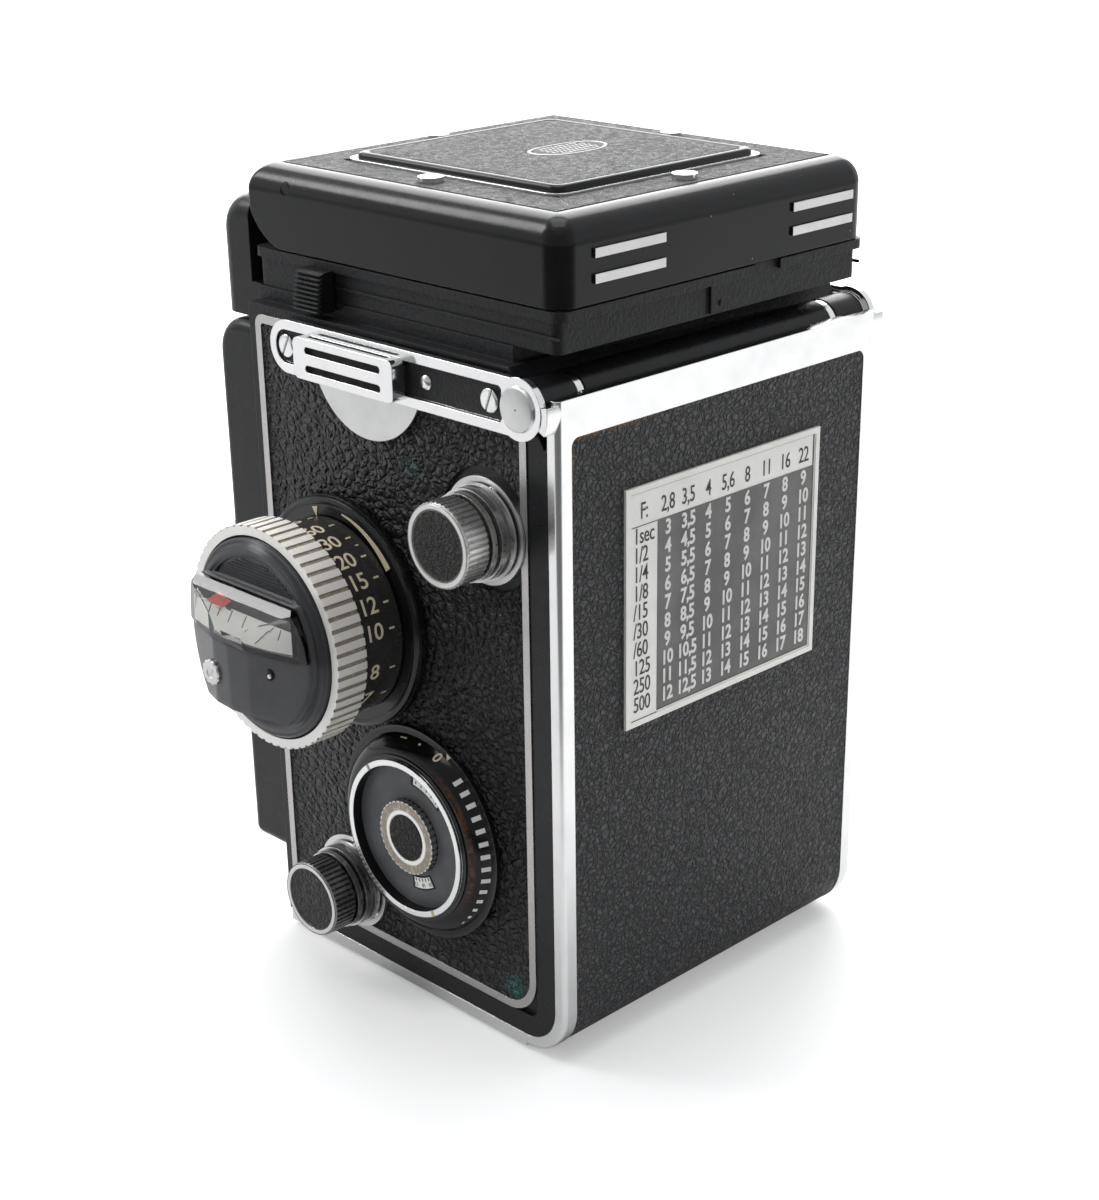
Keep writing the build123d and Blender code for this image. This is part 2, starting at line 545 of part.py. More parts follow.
# --- mirror, screen and light cell ------------------------------------------------------------------
with BuildPart() as viewing_mirror:
    slope = Plane(origin=(0, -4.0, 94.5), x_dir=(1, 0, 0), z_dir=(0, -1, 1))
    with BuildSketch(slope):
        Rectangle(57, 58)
    extrude(amount=1.5)
save(viewing_mirror.part, "viewing_mirror")

with BuildPart() as focusing_screen:
    block(-28.4, 28.4, -34.4, 18.9, DECK, DECK + 1.5)
save(focusing_screen.part, "focusing_screen")

with BuildPart() as cell_housing:
    with BuildSketch(plane_x(-36.0)):
        with BuildLine():
            Polyline((-40.0, DECK), (FRONT, DECK), (FRONT, 118.1), (-48.8, 118.1), (-48.8, 132.4))
            RadiusArc((-48.8, 132.4), (-42.4, 138.8), 6.4)
            Polyline((-42.4, 138.8), (-40.0, 138.8), (-40.0, DECK))
        make_face()
    extrude(amount=72.0)
    fillet(cell_housing.edges().filter_by(Axis.Z).group_by(Axis.Y)[0], 3.5)
    block(-30.3, 30.3, -50, -46.5, 121.2, 131.4, mode=Mode.SUBTRACT)
save(cell_housing.part, "cell_housing")

with BuildPart() as cell_window:
    block(-30.2, 30.2, -48.6, -46.5, 121.3, 131.3)
save(cell_window.part, "cell_window")

# --- folding hood: fixed base --------------------------------------------------------------------------
with BuildPart() as hood_base:
    with BuildSketch(Plane.XY.offset(DECK)):
        with Locations((0, -1.3)):
            RectangleRounded(72.4, 72.4, 1.5)
    extrude(amount=5.1)
    with BuildSketch(Plane.XY.offset(129.4)):
        with Locations((0, (-38.0 + LID_Y1) / 2)):
            RectangleRounded(2 * LID_HX, LID_Y1 + 38.0, 2.0)
    extrude(amount=BASE_TOP - 129.4)
    block(-34.7, 34.7, -36.0, 34.3, DECK + 1.5, BASE_TOP + 1, mode=Mode.SUBTRACT)
    block(-28.5, 28.5, -34.5, 19.0, DECK - 1, DECK + 2, mode=Mode.SUBTRACT)
    for s in (-1, 1):
        # cheek that carries the lid's hinge pin
        x0, x1 = (34.0, 35.4) if s > 0 else (-35.4, -34.0)
        block(x0, x1, LID_PY - 1.5, LID_PY + 1.5, DECK + 1.0, LID_PZ)
        disc_x(s * 34.0, s * 35.4, LID_PY, LID_PZ, 1.5)
        disc_x(s * 35.0, s * 36.7, LID_PY, LID_PZ, 1.0)
        # bearings of the side leaves and of the rear leaf
        x0 = 33.5 if s > 0 else -34.7
        block(x0, x0 + 1.2, -19.7, -18.2, DECK + 1.0, 130.6)
        with BuildSketch(plane_front(34.9, s * LEAF_PX, LEAF_PZ)):
            Circle(0.45)
        extrude(amount=60, mode=Mode.SUBTRACT)
        x0 = 32.8 if s > 0 else -33.4
        block(x0, x0 + 0.6, 33.0, 34.4, DECK + 1.0, 130.4)
        disc_x(s * 32.0, s * 33.3, LEAF_PY, LEAF_PZ, 0.45, mode=Mode.SUBTRACT)
    # notch in the rear wall
    block(-14.5, -8.5, 35.3, 38.0, 127.4, BASE_TOP + 1, mode=Mode.SUBTRACT)
save(hood_base.part, "hood_base")

with BuildPart() as hood_release:
    with BuildSketch(plane_front(-16.5)):
        with BuildLine():
            Polyline((36.95, 122.9), (40.9, 122.9), (39.0, 129.8), (36.95, 129.8), close=True)
        make_face()
    extrude(amount=6.8)
save(hood_release.part, "hood_release")


# --- folding hood: lid ----------------------------------------------------------------------------------
LEATHER_Y0, LEATHER_Y1, LEATHER_HX = -34.0, 31.1, 32.3
PANEL_Y = -1.7
STUDS = [(-28.6, -1.0), (28.6, -1.0), (0, 27.7), (0, -30.8)]
MAG_PY, MAG_PZ = 0.0, 140.0      # magnifier hinge
MAG_Y, MAG_R = 20.0, 13.0

with BuildPart() as hood_lid:
    block(-LID_HX, LID_HX, LID_Y0, LID_Y1, LID_Z0, LID_Z1)
    fillet(hood_lid.edges().filter_by(Axis.Z).group_by(Axis.Y)[-1], 3.6)
    fillet(hood_lid.edges().filter_by(Axis.Z).group_by(Axis.Y)[0], 1.2)
    fillet(hood_lid.edges().group_by(Axis.Z)[-1], 4.4)
    # front foot turned about the hinge
    foot = [radians(180 + 9 * i) for i in range(11)]
    r = LID_PY - LID_Y0
    side_poly([(LID_PY + r * cos(a), LID_PZ + r * sin(a)) for a in foot]
              + [(LID_PY, LID_Z0 - 3), (LID_Y0 - 3, LID_Z0 - 3), (LID_Y0 - 3, LID_PZ)],
              -40, 40, mode=Mode.SUBTRACT)
    # hollow
    with BuildSketch(Plane.XY.offset(LID_Z1 - 1.6)):
        with Locations((0, (LID_Y0 + LID_Y1) / 2)):
            RectangleRounded(2 * LID_HX - 2.6, LID_Y1 - LID_Y0 - 2.6, 2.4)
    extrude(amount=-20, mode=Mode.SUBTRACT)
    # room for the hinge cheeks, pin holes and the sunk field for the leather
    for s in (-1, 1):
        x0 = 33.7 if s > 0 else -35.6
        block(x0, x0 + 1.9, -40, -30, 130, LID_PZ + 1.7, mode=Mode.SUBTRACT)
        disc_x(s * 35.0, s * 38.0, LID_PY, LID_PZ, 1.05, mode=Mode.SUBTRACT)
    block(-LEATHER_HX - 0.05, LEATHER_HX + 0.05, LEATHER_Y0 - 0.05, LEATHER_Y1 + 0.05,
          144.5, 146, mode=Mode.SUBTRACT)
    # lugs of the magnifier
    for s in (-1, 1):
        x0 = 13.4 if s > 0 else -14.8
        block(x0, x0 + 1.4, MAG_PY - 1.8, MAG_PY + 1.8, MAG_PZ - 1.6, LID_Z1 - 1.5)
        disc_x(s * 13.0, s * 15.0, MAG_PY, MAG_PZ, 1.05, mode=Mode.SUBTRACT)
    # bars on the rear face
    for z in (134.4, 138.3):
        block(13.9, 29.6, LID_Y1 - 0.2, LID_Y1 + 0.4, z, z + 1.45)
        block(-32.5, -16.9, LID_Y1 - 0.2, LID_Y1 + 0.4, z, z + 1.45)
save(hood_lid.part, "hood_lid")

with BuildPart() as lid_leather:
    block(-LEATHER_HX, LEATHER_HX, LEATHER_Y0, LEATHER_Y1, 144.5, 145.0)
    block(-24.85, 24.85, PANEL_Y - 25.75, PANEL_Y + 25.75, 144, 146, mode=Mode.SUBTRACT)
    for x, y in STUDS:
        disc_z(144, 146, x, y, 2.15, mode=Mode.SUBTRACT)
save(lid_leather.part, "lid_leather")

with BuildPart() as lid_studs:
    for x, y in STUDS:
        disc_z(144.5, 145.9, x, y, 2.1)
save(lid_studs.part, "lid_studs")

with BuildPart() as finder_trim:
    with BuildSketch(Plane.XY.offset(144.5)):
        with Locations((0, PANEL_Y)):
            RectangleRounded(49.6, 51.4, 3.0)
            RectangleRounded(47.2, 49.0, 2.0, mode=Mode.SUBTRACT)
    extrude(amount=0.9)
save(finder_trim.part, "finder_trim")

with BuildPart() as finder_panel:
    with BuildSketch(Plane.XY.offset(144.5)):
        with Locations((0, PANEL_Y)):
            RectangleRounded(47.0, 48.8, 1.9)
    extrude(amount=1.9)
    fillet(finder_panel.edges().group_by(Axis.Z)[-1], 0.5)
save(finder_panel.part, "finder_panel")

# --- folding hood: leaves ---------------------------------------------------------------------------------
MITRE = 0.35             # gap along the mitred corners


def side_leaf(s):
    outer, tip = LEAF_PX + 0.25, 0.25
    y_hinge, y_tip = LEAF_PY - MITRE, LEAF_PY - (LEAF_PX - tip) - MITRE
    with BuildSketch(Plane.XY.offset(LEAF_PZ - LEAF_T / 2)) as sk:
        with BuildLine():
            Polyline((s * outer, -17.5), (s * outer, y_hinge), (s * LEAF_PX, y_hinge),
                     (s * tip, y_tip), (s * tip, -17.5), close=True)
        make_face()
    extrude(sk.sketch, amount=LEAF_T)
    with BuildSketch(plane_front(34.7, s * LEAF_PX, LEAF_PZ)) as pin:
        Circle(0.4)
    extrude(pin.sketch, amount=34.7 + 19.4)


with BuildPart() as hood_leaf_left:
    side_leaf(1)
save(hood_leaf_left.part, "hood_leaf_left")

with BuildPart() as hood_leaf_right:
    side_leaf(-1)
save(hood_leaf_right.part, "hood_leaf_right")

with BuildPart() as hood_leaf_rear:
    with BuildSketch(Plane.XY.offset(LEAF_PZ - LEAF_T / 2)):
        with BuildLine():
            Polyline((-32.5, LEAF_PY + 0.25), (32.5, LEAF_PY + 0.25), (32.5, LEAF_PY - 1.7 + MITRE),
                     (1.0, 0.75), (-1.0, 0.75), (-32.5, LEAF_PY - 1.7 + MITRE), close=True)
        make_face()
    extrude(amount=LEAF_T)
    disc_x(-33.2, 33.2, LEAF_PY, LEAF_PZ, 0.4)
save(hood_leaf_rear.part, "hood_leaf_rear")

with BuildPart() as magnifier_frame:
    with BuildSketch(Plane.XY.offset(MAG_PZ - 1.2)):
        with Locations((0, MAG_Y)):
            Circle(MAG_R)
        for s in (-1, 1):
            with Locations((s * 11.9, MAG_Y / 2)):
                Rectangle(1.8, MAG_Y)
        with Locations((0, MAG_Y)):
            Circle(MAG_R - 1.4, mode=Mode.SUBTRACT)
    extrude(amount=2.4)
    disc_x(-14.6, 14.6, MAG_PY, MAG_PZ, 1.0)
save(magnifier_frame.part, "magnifier_frame")

with BuildPart() as magnifier_lens:
    disc_z(MAG_PZ - 1.0, MAG_PZ + 1.0, 0, MAG_Y, MAG_R - 1.45)
    fillet(magnifier_lens.edges().group_by(Axis.Z)[-1], 0.8)
save(magnifier_lens.part, "magnifier_lens")

# --- lens board and what rides with it ----------------------------------------------------------------------
WHEEL_X, WHEEL_Z, WHEEL_R = 24.5, 76.0, 9.4
REL_X, REL_Z = -27.0, 27.0
SYNC_X, SYNC_Z = 28.0, 27.0
LEVER_X, LEVER_Z = 24.5, 47.0
BOARD_WALL = -46.5
PLATE_BACK, PLATE_FRONT = -38.4, -41.0

with BuildPart() as lens_board:
    block(-BOARD_HX, BOARD_HX, BOARD_FRONT, BOARD_BACK, BOARD_Z0, BOARD_Z1)
    front_edges = lens_board.edges().group_by(Axis.Y)[0]
    fillet(front_edges.sort_by(Axis.Z)[-1], 6.5)
    fillet(lens_board.edges().group_by(Axis.Y)[0].sort_by(Axis.Z)[0], 2.0)
    for side in (0, -1):
        edges = lens_board.faces().sort_by(Axis.X)[side].edges()
        fillet(edges.group_by(Axis.Y)[:-1], 2.0)
    block(-34.7, 34.7, BOARD_WALL, BOARD_BACK + 1, 17.6, 114.6, mode=Mode.SUBTRACT)
    disc_f(-40, -50, 0, VIEW_Z, 12.55, mode=Mode.SUBTRACT)
    disc_f(-40, -50, 0, TAKE_Z, 14.05, mode=Mode.SUBTRACT)
    for s in (-1, 1):
        disc_f(-40, -50, s * WHEEL_X, WHEEL_Z, 1.55, mode=Mode.SUBTRACT)
    ring_f(BOARD_FRONT, -52.0, REL_X, REL_Z, 5.6, 3.6)
    disc_f(-40, -52.5, REL_X, REL_Z, 2.55, mode=Mode.SUBTRACT)
    disc_f(-40, -50, SYNC_X, SYNC_Z, 3.05, mode=Mode.SUBTRACT)
    disc_f(-40, -50, LEVER_X, LEVER_Z, 1.05, mode=Mode.SUBTRACT)
save(lens_board.part, "lens_board")

with BuildPart() as lens_carriage:
    block(-34.0, 34.0, PLATE_FRONT, PLATE_BACK, 18.5, 113.5)
    ring_f(-27.5, PLATE_BACK, 0, VIEW_Z, 13.8, 12.2)
    ring_f(-25.0, PLATE_BACK, 0, TAKE_Z, 17.2, 15.4)
    disc_f(-38, -42, 0, VIEW_Z, 10.6, mode=Mode.SUBTRACT)
    disc_f(-38, -42, 0, TAKE_Z, 11.2, mode=Mode.SUBTRACT)
    # finger that follows the focusing cam
    block(32.2, 34.6, PLATE_BACK, FOC_Y - CAM_R0 - 0.3, FOC_Z - 1.5, FOC_Z + 1.5)
save(lens_carriage.part, "lens_carriage")


def lens_mount(z, r_tube, r_flange, r_ring, r_bore):
    disc_f(PLATE_FRONT, BOARD_FRONT, 0, z, r_tube)
    disc_f(BOARD_FRONT, -51.7, 0, z, r_flange)
    disc_f(-51.7, -52.6, 0, z, r_ring + 0.8)
    disc_f(-52.6, -55.4, 0, z, r_ring)
    disc_f(-52.2, -56, 0, z, r_ring - 1.6, mode=Mode.SUBTRACT)
    disc_f(-40, -56, 0, z, r_bore, mode=Mode.SUBTRACT)


with BuildPart() as viewing_lens_mount:
    lens_mount(VIEW_Z, 12.5, 17.0, 15.6, 10.6)
save(viewing_lens_mount.part, "viewing_lens_mount")

with BuildPart() as taking_lens_mount:
    lens_mount(TAKE_Z, 14.0, 19.0, 17.0, 11.2)
save(taking_lens_mount.part, "taking_lens_mount")

with BuildPart() as lens_glasses:
    disc_f(-43.0, -51.4, 0, VIEW_Z, 10.55)
    disc_f(-43.0, -51.4, 0, TAKE_Z, 11.15)
    fillet(lens_glasses.edges().group_by(Axis.Y)[0], 2.0)
save(lens_glasses.part, "lens_glasses")


def wheel(x):
    with BuildSketch(plane_front(BOARD_FRONT - 0.3, x, WHEEL_Z)) as sk:
        Circle(WHEEL_R)
        with PolarLocations(WHEEL_R + 0.1, 40):
            Rectangle(0.6, 0.55, mode=Mode.SUBTRACT)
    extrude(sk.sketch, amount=3.6)
    disc_f(BOARD_FRONT - 3.9, BOARD_FRONT - 4.4, x, WHEEL_Z, 6.6)
    disc_f(BOARD_WALL + 0.4, BOARD_FRONT - 0.3, x, WHEEL_Z, 1.5)


with BuildPart() as aperture_wheel:
    wheel(WHEEL_X)
save(aperture_wheel.part, "aperture_wheel")

with BuildPart() as speed_wheel:
    wheel(-WHEEL_X)
save(speed_wheel.part, "speed_wheel")

with BuildPart() as release_button:
    disc_f(-44.6, -53.2, REL_X, REL_Z, 2.5)
    disc_f(-53.2, -56.6, REL_X, REL_Z, 3.4)
    disc_f(-55.0, -57, REL_X, REL_Z, 1.2, mode=Mode.SUBTRACT)
save(release_button.part, "release_button")

with BuildPart() as sync_socket:
    disc_f(-47.0, BOARD_FRONT, SYNC_X, SYNC_Z, 3.0)
    disc_f(BOARD_FRONT, -52.8, SYNC_X, SYNC_Z, 3.7)
    disc_f(-48.0, -54, SYNC_X, SYNC_Z, 1.7, mode=Mode.SUBTRACT)
save(sync_socket.part, "sync_socket")

with BuildPart() as timer_lever:
    disc_f(BOARD_WALL + 0.4, BOARD_FRONT - 0.2, LEVER_X, LEVER_Z, 1.0)
    with BuildSketch(plane_front(BOARD_FRONT - 0.2)):
        with Locations((LEVER_X, LEVER_Z)):
            Circle(2.6)
        with Locations((LEVER_X, LEVER_Z - 5)):
            Rectangle(2.4, 10)
    extrude(amount=1.2)
    block(LEVER_X - 1.2, LEVER_X + 1.2, BOARD_FRONT - 3.4, BOARD_FRONT - 1.4, LEVER_Z - 10, LEVER_Z - 8.4)
save(timer_lever.part, "timer_lever")

# --- hinged back and floor -------------------------------------------------------------------------------------
EAR_X0, EAR_X1 = 30.2, 31.6
TABLE_HX, TABLE_Z0, TABLE_Z1 = 24.3, 59.3, 100.8
REAR_TOP, REAR_HX = 111.9, 36.0     # rear leather


def rear_field(inner, outer, hx, top):
    """Sheet down the back and round its curved foot, between two depths below the outer face."""
    with BuildPart() as foot:
        ring_x(-hx, hx, FOOT_Y, FOOT_Z, DOOR_CORNER - outer, DOOR_CORNER - inner)
        block(-hx, hx, FOOT_Y, BACK + 2, BASE_Z - 2, FOOT_Z, mode=Mode.INTERSECT)
    with BuildPart() as sheet:
        block(-hx, hx, BACK - inner, BACK - outer, FOOT_Z, top)
        fillet(sheet.edges().filter_by(Axis.Y).group_by(Axis.Z)[-1], 1.5)
        add(foot.part)
    return sheet.part


FOOT_Y = BACK - DOOR_CORNER      # where the cover's curved foot meets the base plate
FOOT_Z = BASE_Z + DOOR_CORNER

with BuildPart() as rear_cover:
    with BuildSketch(plane_x(-HALF_W)):
        with BuildLine():
            r_in = DOOR_CORNER - DOOR_T
            Polyline((DOOR_IN, BASE_Z + DOOR_CORNER), (DOOR_IN, DOOR_TOP), (BACK, DOOR_TOP),
                     (BACK, BASE_Z + DOOR_CORNER))
            RadiusArc((BACK, BASE_Z + DOOR_CORNER), (FOOT_Y, BASE_Z), DOOR_CORNER)
            Line((FOOT_Y, BASE_Z), (FOOT_Y, FLOOR_IN))
            RadiusArc((FOOT_Y, FLOOR_IN), (DOOR_IN, BASE_Z + DOOR_CORNER), -r_in)
        make_face()
    extrude(amount=2 * HALF_W)
    for side in (0, -1):
        fillet(rear_cover.faces().sort_by(Axis.X)[side].edges().group_by(Axis.Y)[-1], 0.9)
    add(rear_field(0.8, -1.0, REAR_HX + 0.05, REAR_TOP + 0.05), mode=Mode.SUBTRACT)
    for x0 in (EAR_X0, -EAR_X1):
        disc_x(x0, x0 + EAR_X1 - EAR_X0, PIVOT_Y, PIVOT_Z, BAR_R - 0.15)
        block(x0, x0 + EAR_X1 - EAR_X0, PIVOT_Y, DOOR_IN + 0.5, PIVOT_Z - 2.2, PIVOT_Z + 1.6)
        disc_x(x0 - 1, x0 + 3, PIVOT_Y, PIVOT_Z, 1.25, mode=Mode.SUBTRACT)
    for s in (-1, 1):
        side_poly(sector(PIVOT_Y, PIVOT_Z, BACK - PIVOT_Y, -28, 12), *sorted((s * 38.0, s * 41.2)))
    side_poly(sector(PIVOT_Y, PIVOT_Z, 5.4, -60, 60), -42, -32, mode=Mode.SUBTRACT)
    side_poly(sector(PIVOT_Y, PIVOT_Z, 5.4, -60, 60), 32, 42, mode=Mode.SUBTRACT)
save(rear_cover.part, "rear_cover")

with BuildPart() as base_plate:
    block(-HALF_W, HALF_W, FRONT + 0.5, FOOT_Y, BASE_Z, FLOOR_IN)
    # feet, and the sunk seat of the latch
    for x in (-31, 31):
        for y in (-31, 24):
            disc_z(0, BASE_Z + 0.2, x, y, 3.6)
    disc_z(0, 2.0, 0, 0, 13.4, mode=Mode.SUBTRACT)
    disc_z(0, 4, 0, 0, 6.05, mode=Mode.SUBTRACT)
save(base_plate.part, "base_plate")

with BuildPart() as rear_leather:
    add(rear_field(0.8, 0.1, REAR_HX, REAR_TOP))
    block(-TABLE_HX - 0.1, TABLE_HX + 0.1, BACK - 2, BACK + 1, TABLE_Z0 - 0.1, TABLE_Z1 + 0.1,
          mode=Mode.SUBTRACT)
save(rear_leather.part, "rear_leather")

with BuildPart() as exposure_table:
    block(-TABLE_HX, TABLE_HX, BACK - 0.8, BACK + 0.35, TABLE_Z0, TABLE_Z1)
    block(-TABLE_HX + 1.0, TABLE_HX - 1.0, BACK + 0.15, BACK + 1, TABLE_Z0 + 1.0, TABLE_Z1 - 1.0,
          mode=Mode.SUBTRACT)
save(exposure_table.part, "exposure_table")

with BuildPart() as pressure_plate:
    block(-31.5, 31.5, 31.2, 32.5, 24, 84)
    for x in (-18, 18):
        for z in (38, 70):
            block(x - 3, x + 3, 32.5, DOOR_IN, z - 6, z + 6)
save(pressure_plate.part, "pressure_plate")

with BuildPart() as door_latch:
    with BuildSketch(Plane.XY.offset(0.6)):
        Circle(13.1)
        Circle(8.2, mode=Mode.SUBTRACT)
    extrude(amount=1.4)
    block(-1.6, 1.6, 8.6, 12.6, 0.1, 0.8)
save(door_latch.part, "door_latch")

with BuildPart() as tripod_socket:
    disc_z(0, 2.0, 0, 0, 8.0)
    disc_z(2.0, 6.6, 0, 0, 6.0)
    disc_z(-1, 6.0, 0, 0, 3.175, mode=Mode.SUBTRACT)
save(tripod_socket.part, "tripod_socket")
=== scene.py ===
import bpy
from math import asin, copysign, cos, floor, hypot, pi, radians, sin
from mathutils import Matrix, Vector


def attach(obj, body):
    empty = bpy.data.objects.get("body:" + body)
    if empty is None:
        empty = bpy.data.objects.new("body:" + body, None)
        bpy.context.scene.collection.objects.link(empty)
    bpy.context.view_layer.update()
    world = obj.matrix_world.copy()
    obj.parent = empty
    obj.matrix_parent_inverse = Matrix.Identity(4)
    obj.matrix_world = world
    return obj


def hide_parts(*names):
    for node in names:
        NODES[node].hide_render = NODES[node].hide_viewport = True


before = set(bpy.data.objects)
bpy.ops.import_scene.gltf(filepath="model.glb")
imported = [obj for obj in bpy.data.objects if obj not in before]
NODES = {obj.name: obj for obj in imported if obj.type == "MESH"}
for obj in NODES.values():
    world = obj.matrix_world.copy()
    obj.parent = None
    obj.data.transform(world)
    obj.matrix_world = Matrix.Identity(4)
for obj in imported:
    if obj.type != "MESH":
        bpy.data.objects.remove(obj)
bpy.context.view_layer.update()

MM = 0.001

# Places of the CAD model, in millimetres, in its own frame.
FOC_Y, FOC_Z = -14.84, 71.1          # focusing knob axis
DIAL_Y, DIAL_Z = 2.84, 34.1          # exposure dial axis
UP_Y, UP_Z = 21.3, 94.3              # upper spool knob
LO_Y, LO_Z = -16.8, 17.0             # lower spool knob
PLATE_Z, PLATE_FLOOR = 116.4, 40.2   # strap plate: height, and floor of its channel
SCREW_YS, RIVET_Y = (-25.5, 24.3), 9.3
HINGE_Y, HINGE_Z = 30.9, 116.3       # door pivot
VIEW_Z, TAKE_Z = 96.0, 54.0          # lens axes
WHEEL_X, WHEEL_Z = 24.5, 76.0        # aperture and speed wheels, one to each side
BOARD_Y = -49.5                      # front of the lens board
CRANK_Y, CRANK_Z, GRIP_Z = -2.0, 70.0, 45.0
TABLE_Y = 37.65                      # outer face of the exposure table's plate


# --- shader helpers ---
def add(mat, kind, inputs=None, **settings):
    """Adds a node; an input given as a socket is linked, anything else is its value."""
    node = mat.node_tree.nodes.new("ShaderNode" + kind)
    for key, value in settings.items():
        setattr(node, key, value)
    for key, value in (inputs or {}).items():
        if isinstance(value, bpy.types.NodeSocket):
            mat.node_tree.links.new(value, node.inputs[key])
        else:
            node.inputs[key].default_value = value
    return node


def material(name, color, roughness, metallic=0.0, **sockets):
    mat = bpy.data.materials.new(name)
    mat.use_nodes = True
    shader = mat.node_tree.nodes["Principled BSDF"]
    shader.inputs["Base Color"].default_value = (*color, 1)
    shader.inputs["Roughness"].default_value = roughness
    shader.inputs["Metallic"].default_value = metallic
    for key, value in sockets.items():
        shader.inputs[key.replace("_", " ")].default_value = value
    return mat, shader


def place_of(mat):
    """The point in the row frame, in millimetres."""
    coord = add(mat, "TexCoord")
    return vector(mat, "MULTIPLY", coord.outputs["Object"], (1 / MM, 1 / MM, 1 / MM))


def noise(mat, point, scale, detail=3.0, rough=0.55, distortion=0.0):
    return add(mat, "TexNoise", {"Vector": point, "Scale": scale, "Detail": detail,
                                           "Roughness": rough, "Distortion": distortion}).outputs["Fac"]


def ramp(mat, value, low, high, to_low=0.0, to_high=1.0):
    return add(mat, "MapRange", {"Value": value, "From Min": low, "From Max": high,
                                           "To Min": to_low, "To Max": to_high},
               interpolation_type="SMOOTHSTEP").outputs["Result"]


def calc(mat, operation, a, b=0.0, c=0.0):
    return add(mat, "Math", {0: a, 1: b, 2: c}, operation=operation).outputs[0]


def blend_color(mat, fac, a, b, mode="MIX"):
    def four(v):
        return v if isinstance(v, bpy.types.NodeSocket) else (*v, 1)
    return add(mat, "Mix", {0: fac, 6: four(a), 7: four(b)}, data_type="RGBA",
               blend_type=mode).outputs[2]


def bump(mat, height, distance_mm, strength=1.0, under=None):
    inputs = {"Height": height, "Distance": distance_mm * MM, "Strength": strength}
    if under is not None:
        inputs["Normal"] = under
    return add(mat, "Bump", inputs).outputs["Normal"]


def soft_edge(mat, radius_mm):
    """A normal that rounds the solid's edges by this radius."""
    return add(mat, "Bevel", {"Radius": radius_mm * MM}, samples=4).outputs["Normal"]


def times(mat, a, b):
    return calc(mat, "MULTIPLY", a, b)


def vector(mat, operation, a, b):
    return add(mat, "VectorMath", {0: a, 1: b}, operation=operation).outputs[0]


def cells(mat, point, scale, feature="F1", **settings):
    return add(mat, "TexVoronoi", {"Vector": point, "Scale": scale, **settings},
               feature=feature).outputs["Distance"]


def link(mat, socket, shader, name):
    mat.node_tree.links.new(socket, shader.inputs[name])


def split(mat, point):
    parts = add(mat, "SeparateXYZ", {0: point})
    return parts.outputs[0], parts.outputs[1], parts.outputs[2]


def distance_to(mat, point, centre, flat=(1, 1, 1)):
    """Distance from `centre`, leaving out the axes where `flat` is 0."""
    kept = vector(mat, "MULTIPLY", vector(mat, "SUBTRACT", point, centre), flat)
    return add(mat, "VectorMath", {0: kept}, operation="LENGTH").outputs["Value"]


# --- materials ---
def leather(name, dark, light, grain=1.0, stretch=(1, 1, 1), relief=0.3, gloss=0.34, worn=None):
    """Black grained leather: domed pebbles parted by creases, with pores and broad folds; its colour is
    painted dark in the creases as shade and pale on the pebbles as light.
    """
    mat, shader = material(name, dark, gloss, Specular_IOR_Level=0.42)
    point = place_of(mat)
    wander = add(mat, "TexNoise", {"Vector": point, "Scale": 0.55 * grain, "Detail": 2.0})
    bent = vector(mat, "ADD", point, vector(mat, "MULTIPLY", wander.outputs["Color"], (2.2, 2.2, 2.2)))
    drawn = vector(mat, "MULTIPLY", bent, stretch)
    pebble = cells(mat, drawn, 0.8 * grain, "SMOOTH_F1", Smoothness=0.35)
    gap = cells(mat, drawn, 0.8 * grain, "DISTANCE_TO_EDGE")
    fine = cells(mat, bent, 2.3 * grain)
    folds = noise(mat, point, 0.2, 3.0)
    crease = ramp(mat, gap, 0.0, 0.22)
    height = calc(mat, "MULTIPLY_ADD", pebble, -1.1, crease)
    height = calc(mat, "MULTIPLY_ADD", fine, -0.35, height)
    height = calc(mat, "MULTIPLY_ADD", folds, 0.9, height)
    height = calc(mat, "MULTIPLY_ADD", noise(mat, point, 6.0, 3.0, 0.7), 0.15, height)
    # painted shade and light: colour runs from `dark` deep in the creases to `light` on the pebbles
    color = blend_color(mat, crease, dark, light)
    if worn:
        color = worn(mat, point, color)
    link(mat, color, shader, "Base Color")
    link(mat, ramp(mat, noise(mat, point, 0.9, 4.0), 0.3, 0.7, gloss * 0.75, gloss * 1.3), shader,
         "Roughness")
    link(mat, bump(mat, height, relief), shader, "Normal")
    return mat


def verdigris(mat, point, color):
    """Two small spots of green on the near side's leather."""
    speck = ramp(mat, noise(mat, point, 2.2, 4.0, 0.75), 0.46, 0.56)
    for centre, radius, share in (((39.1, 25.4, 11.6), 3.2, 0.8), ((39.1, 3.3, 100.9), 2.6, 0.35)):
        near = ramp(mat, distance_to(mat, point, centre), radius, radius * 0.4)
        near = times(mat, near, speck)
        color = blend_color(mat, times(mat, near, share), color, (0.015, 0.22, 0.2))
    return color


def frayed_edge(mat, point, color):
    """Brown where the back's leather has worn at its upper edge and corner."""
    x, _, z = split(mat, point)
    ragged = calc(mat, "MULTIPLY_ADD", noise(mat, point, 0.9, 4.0, 0.7), 0.9, -0.45)
    top = ramp(mat, calc(mat, "ADD", z, ragged), 111.25, 111.6)
    along = ramp(mat, calc(mat, "MULTIPLY_ADD", ragged, 6.0, x), 14.0, 24.0)
    side = ramp(mat, calc(mat, "ADD", x, ragged), 35.45, 35.75)
    fade = ramp(mat, z, 96.0, 108.0)
    edge = calc(mat, "MAXIMUM", times(mat, top, along), times(mat, side, fade))
    return blend_color(mat, times(mat, edge, 0.85), color, (0.2, 0.1, 0.035))


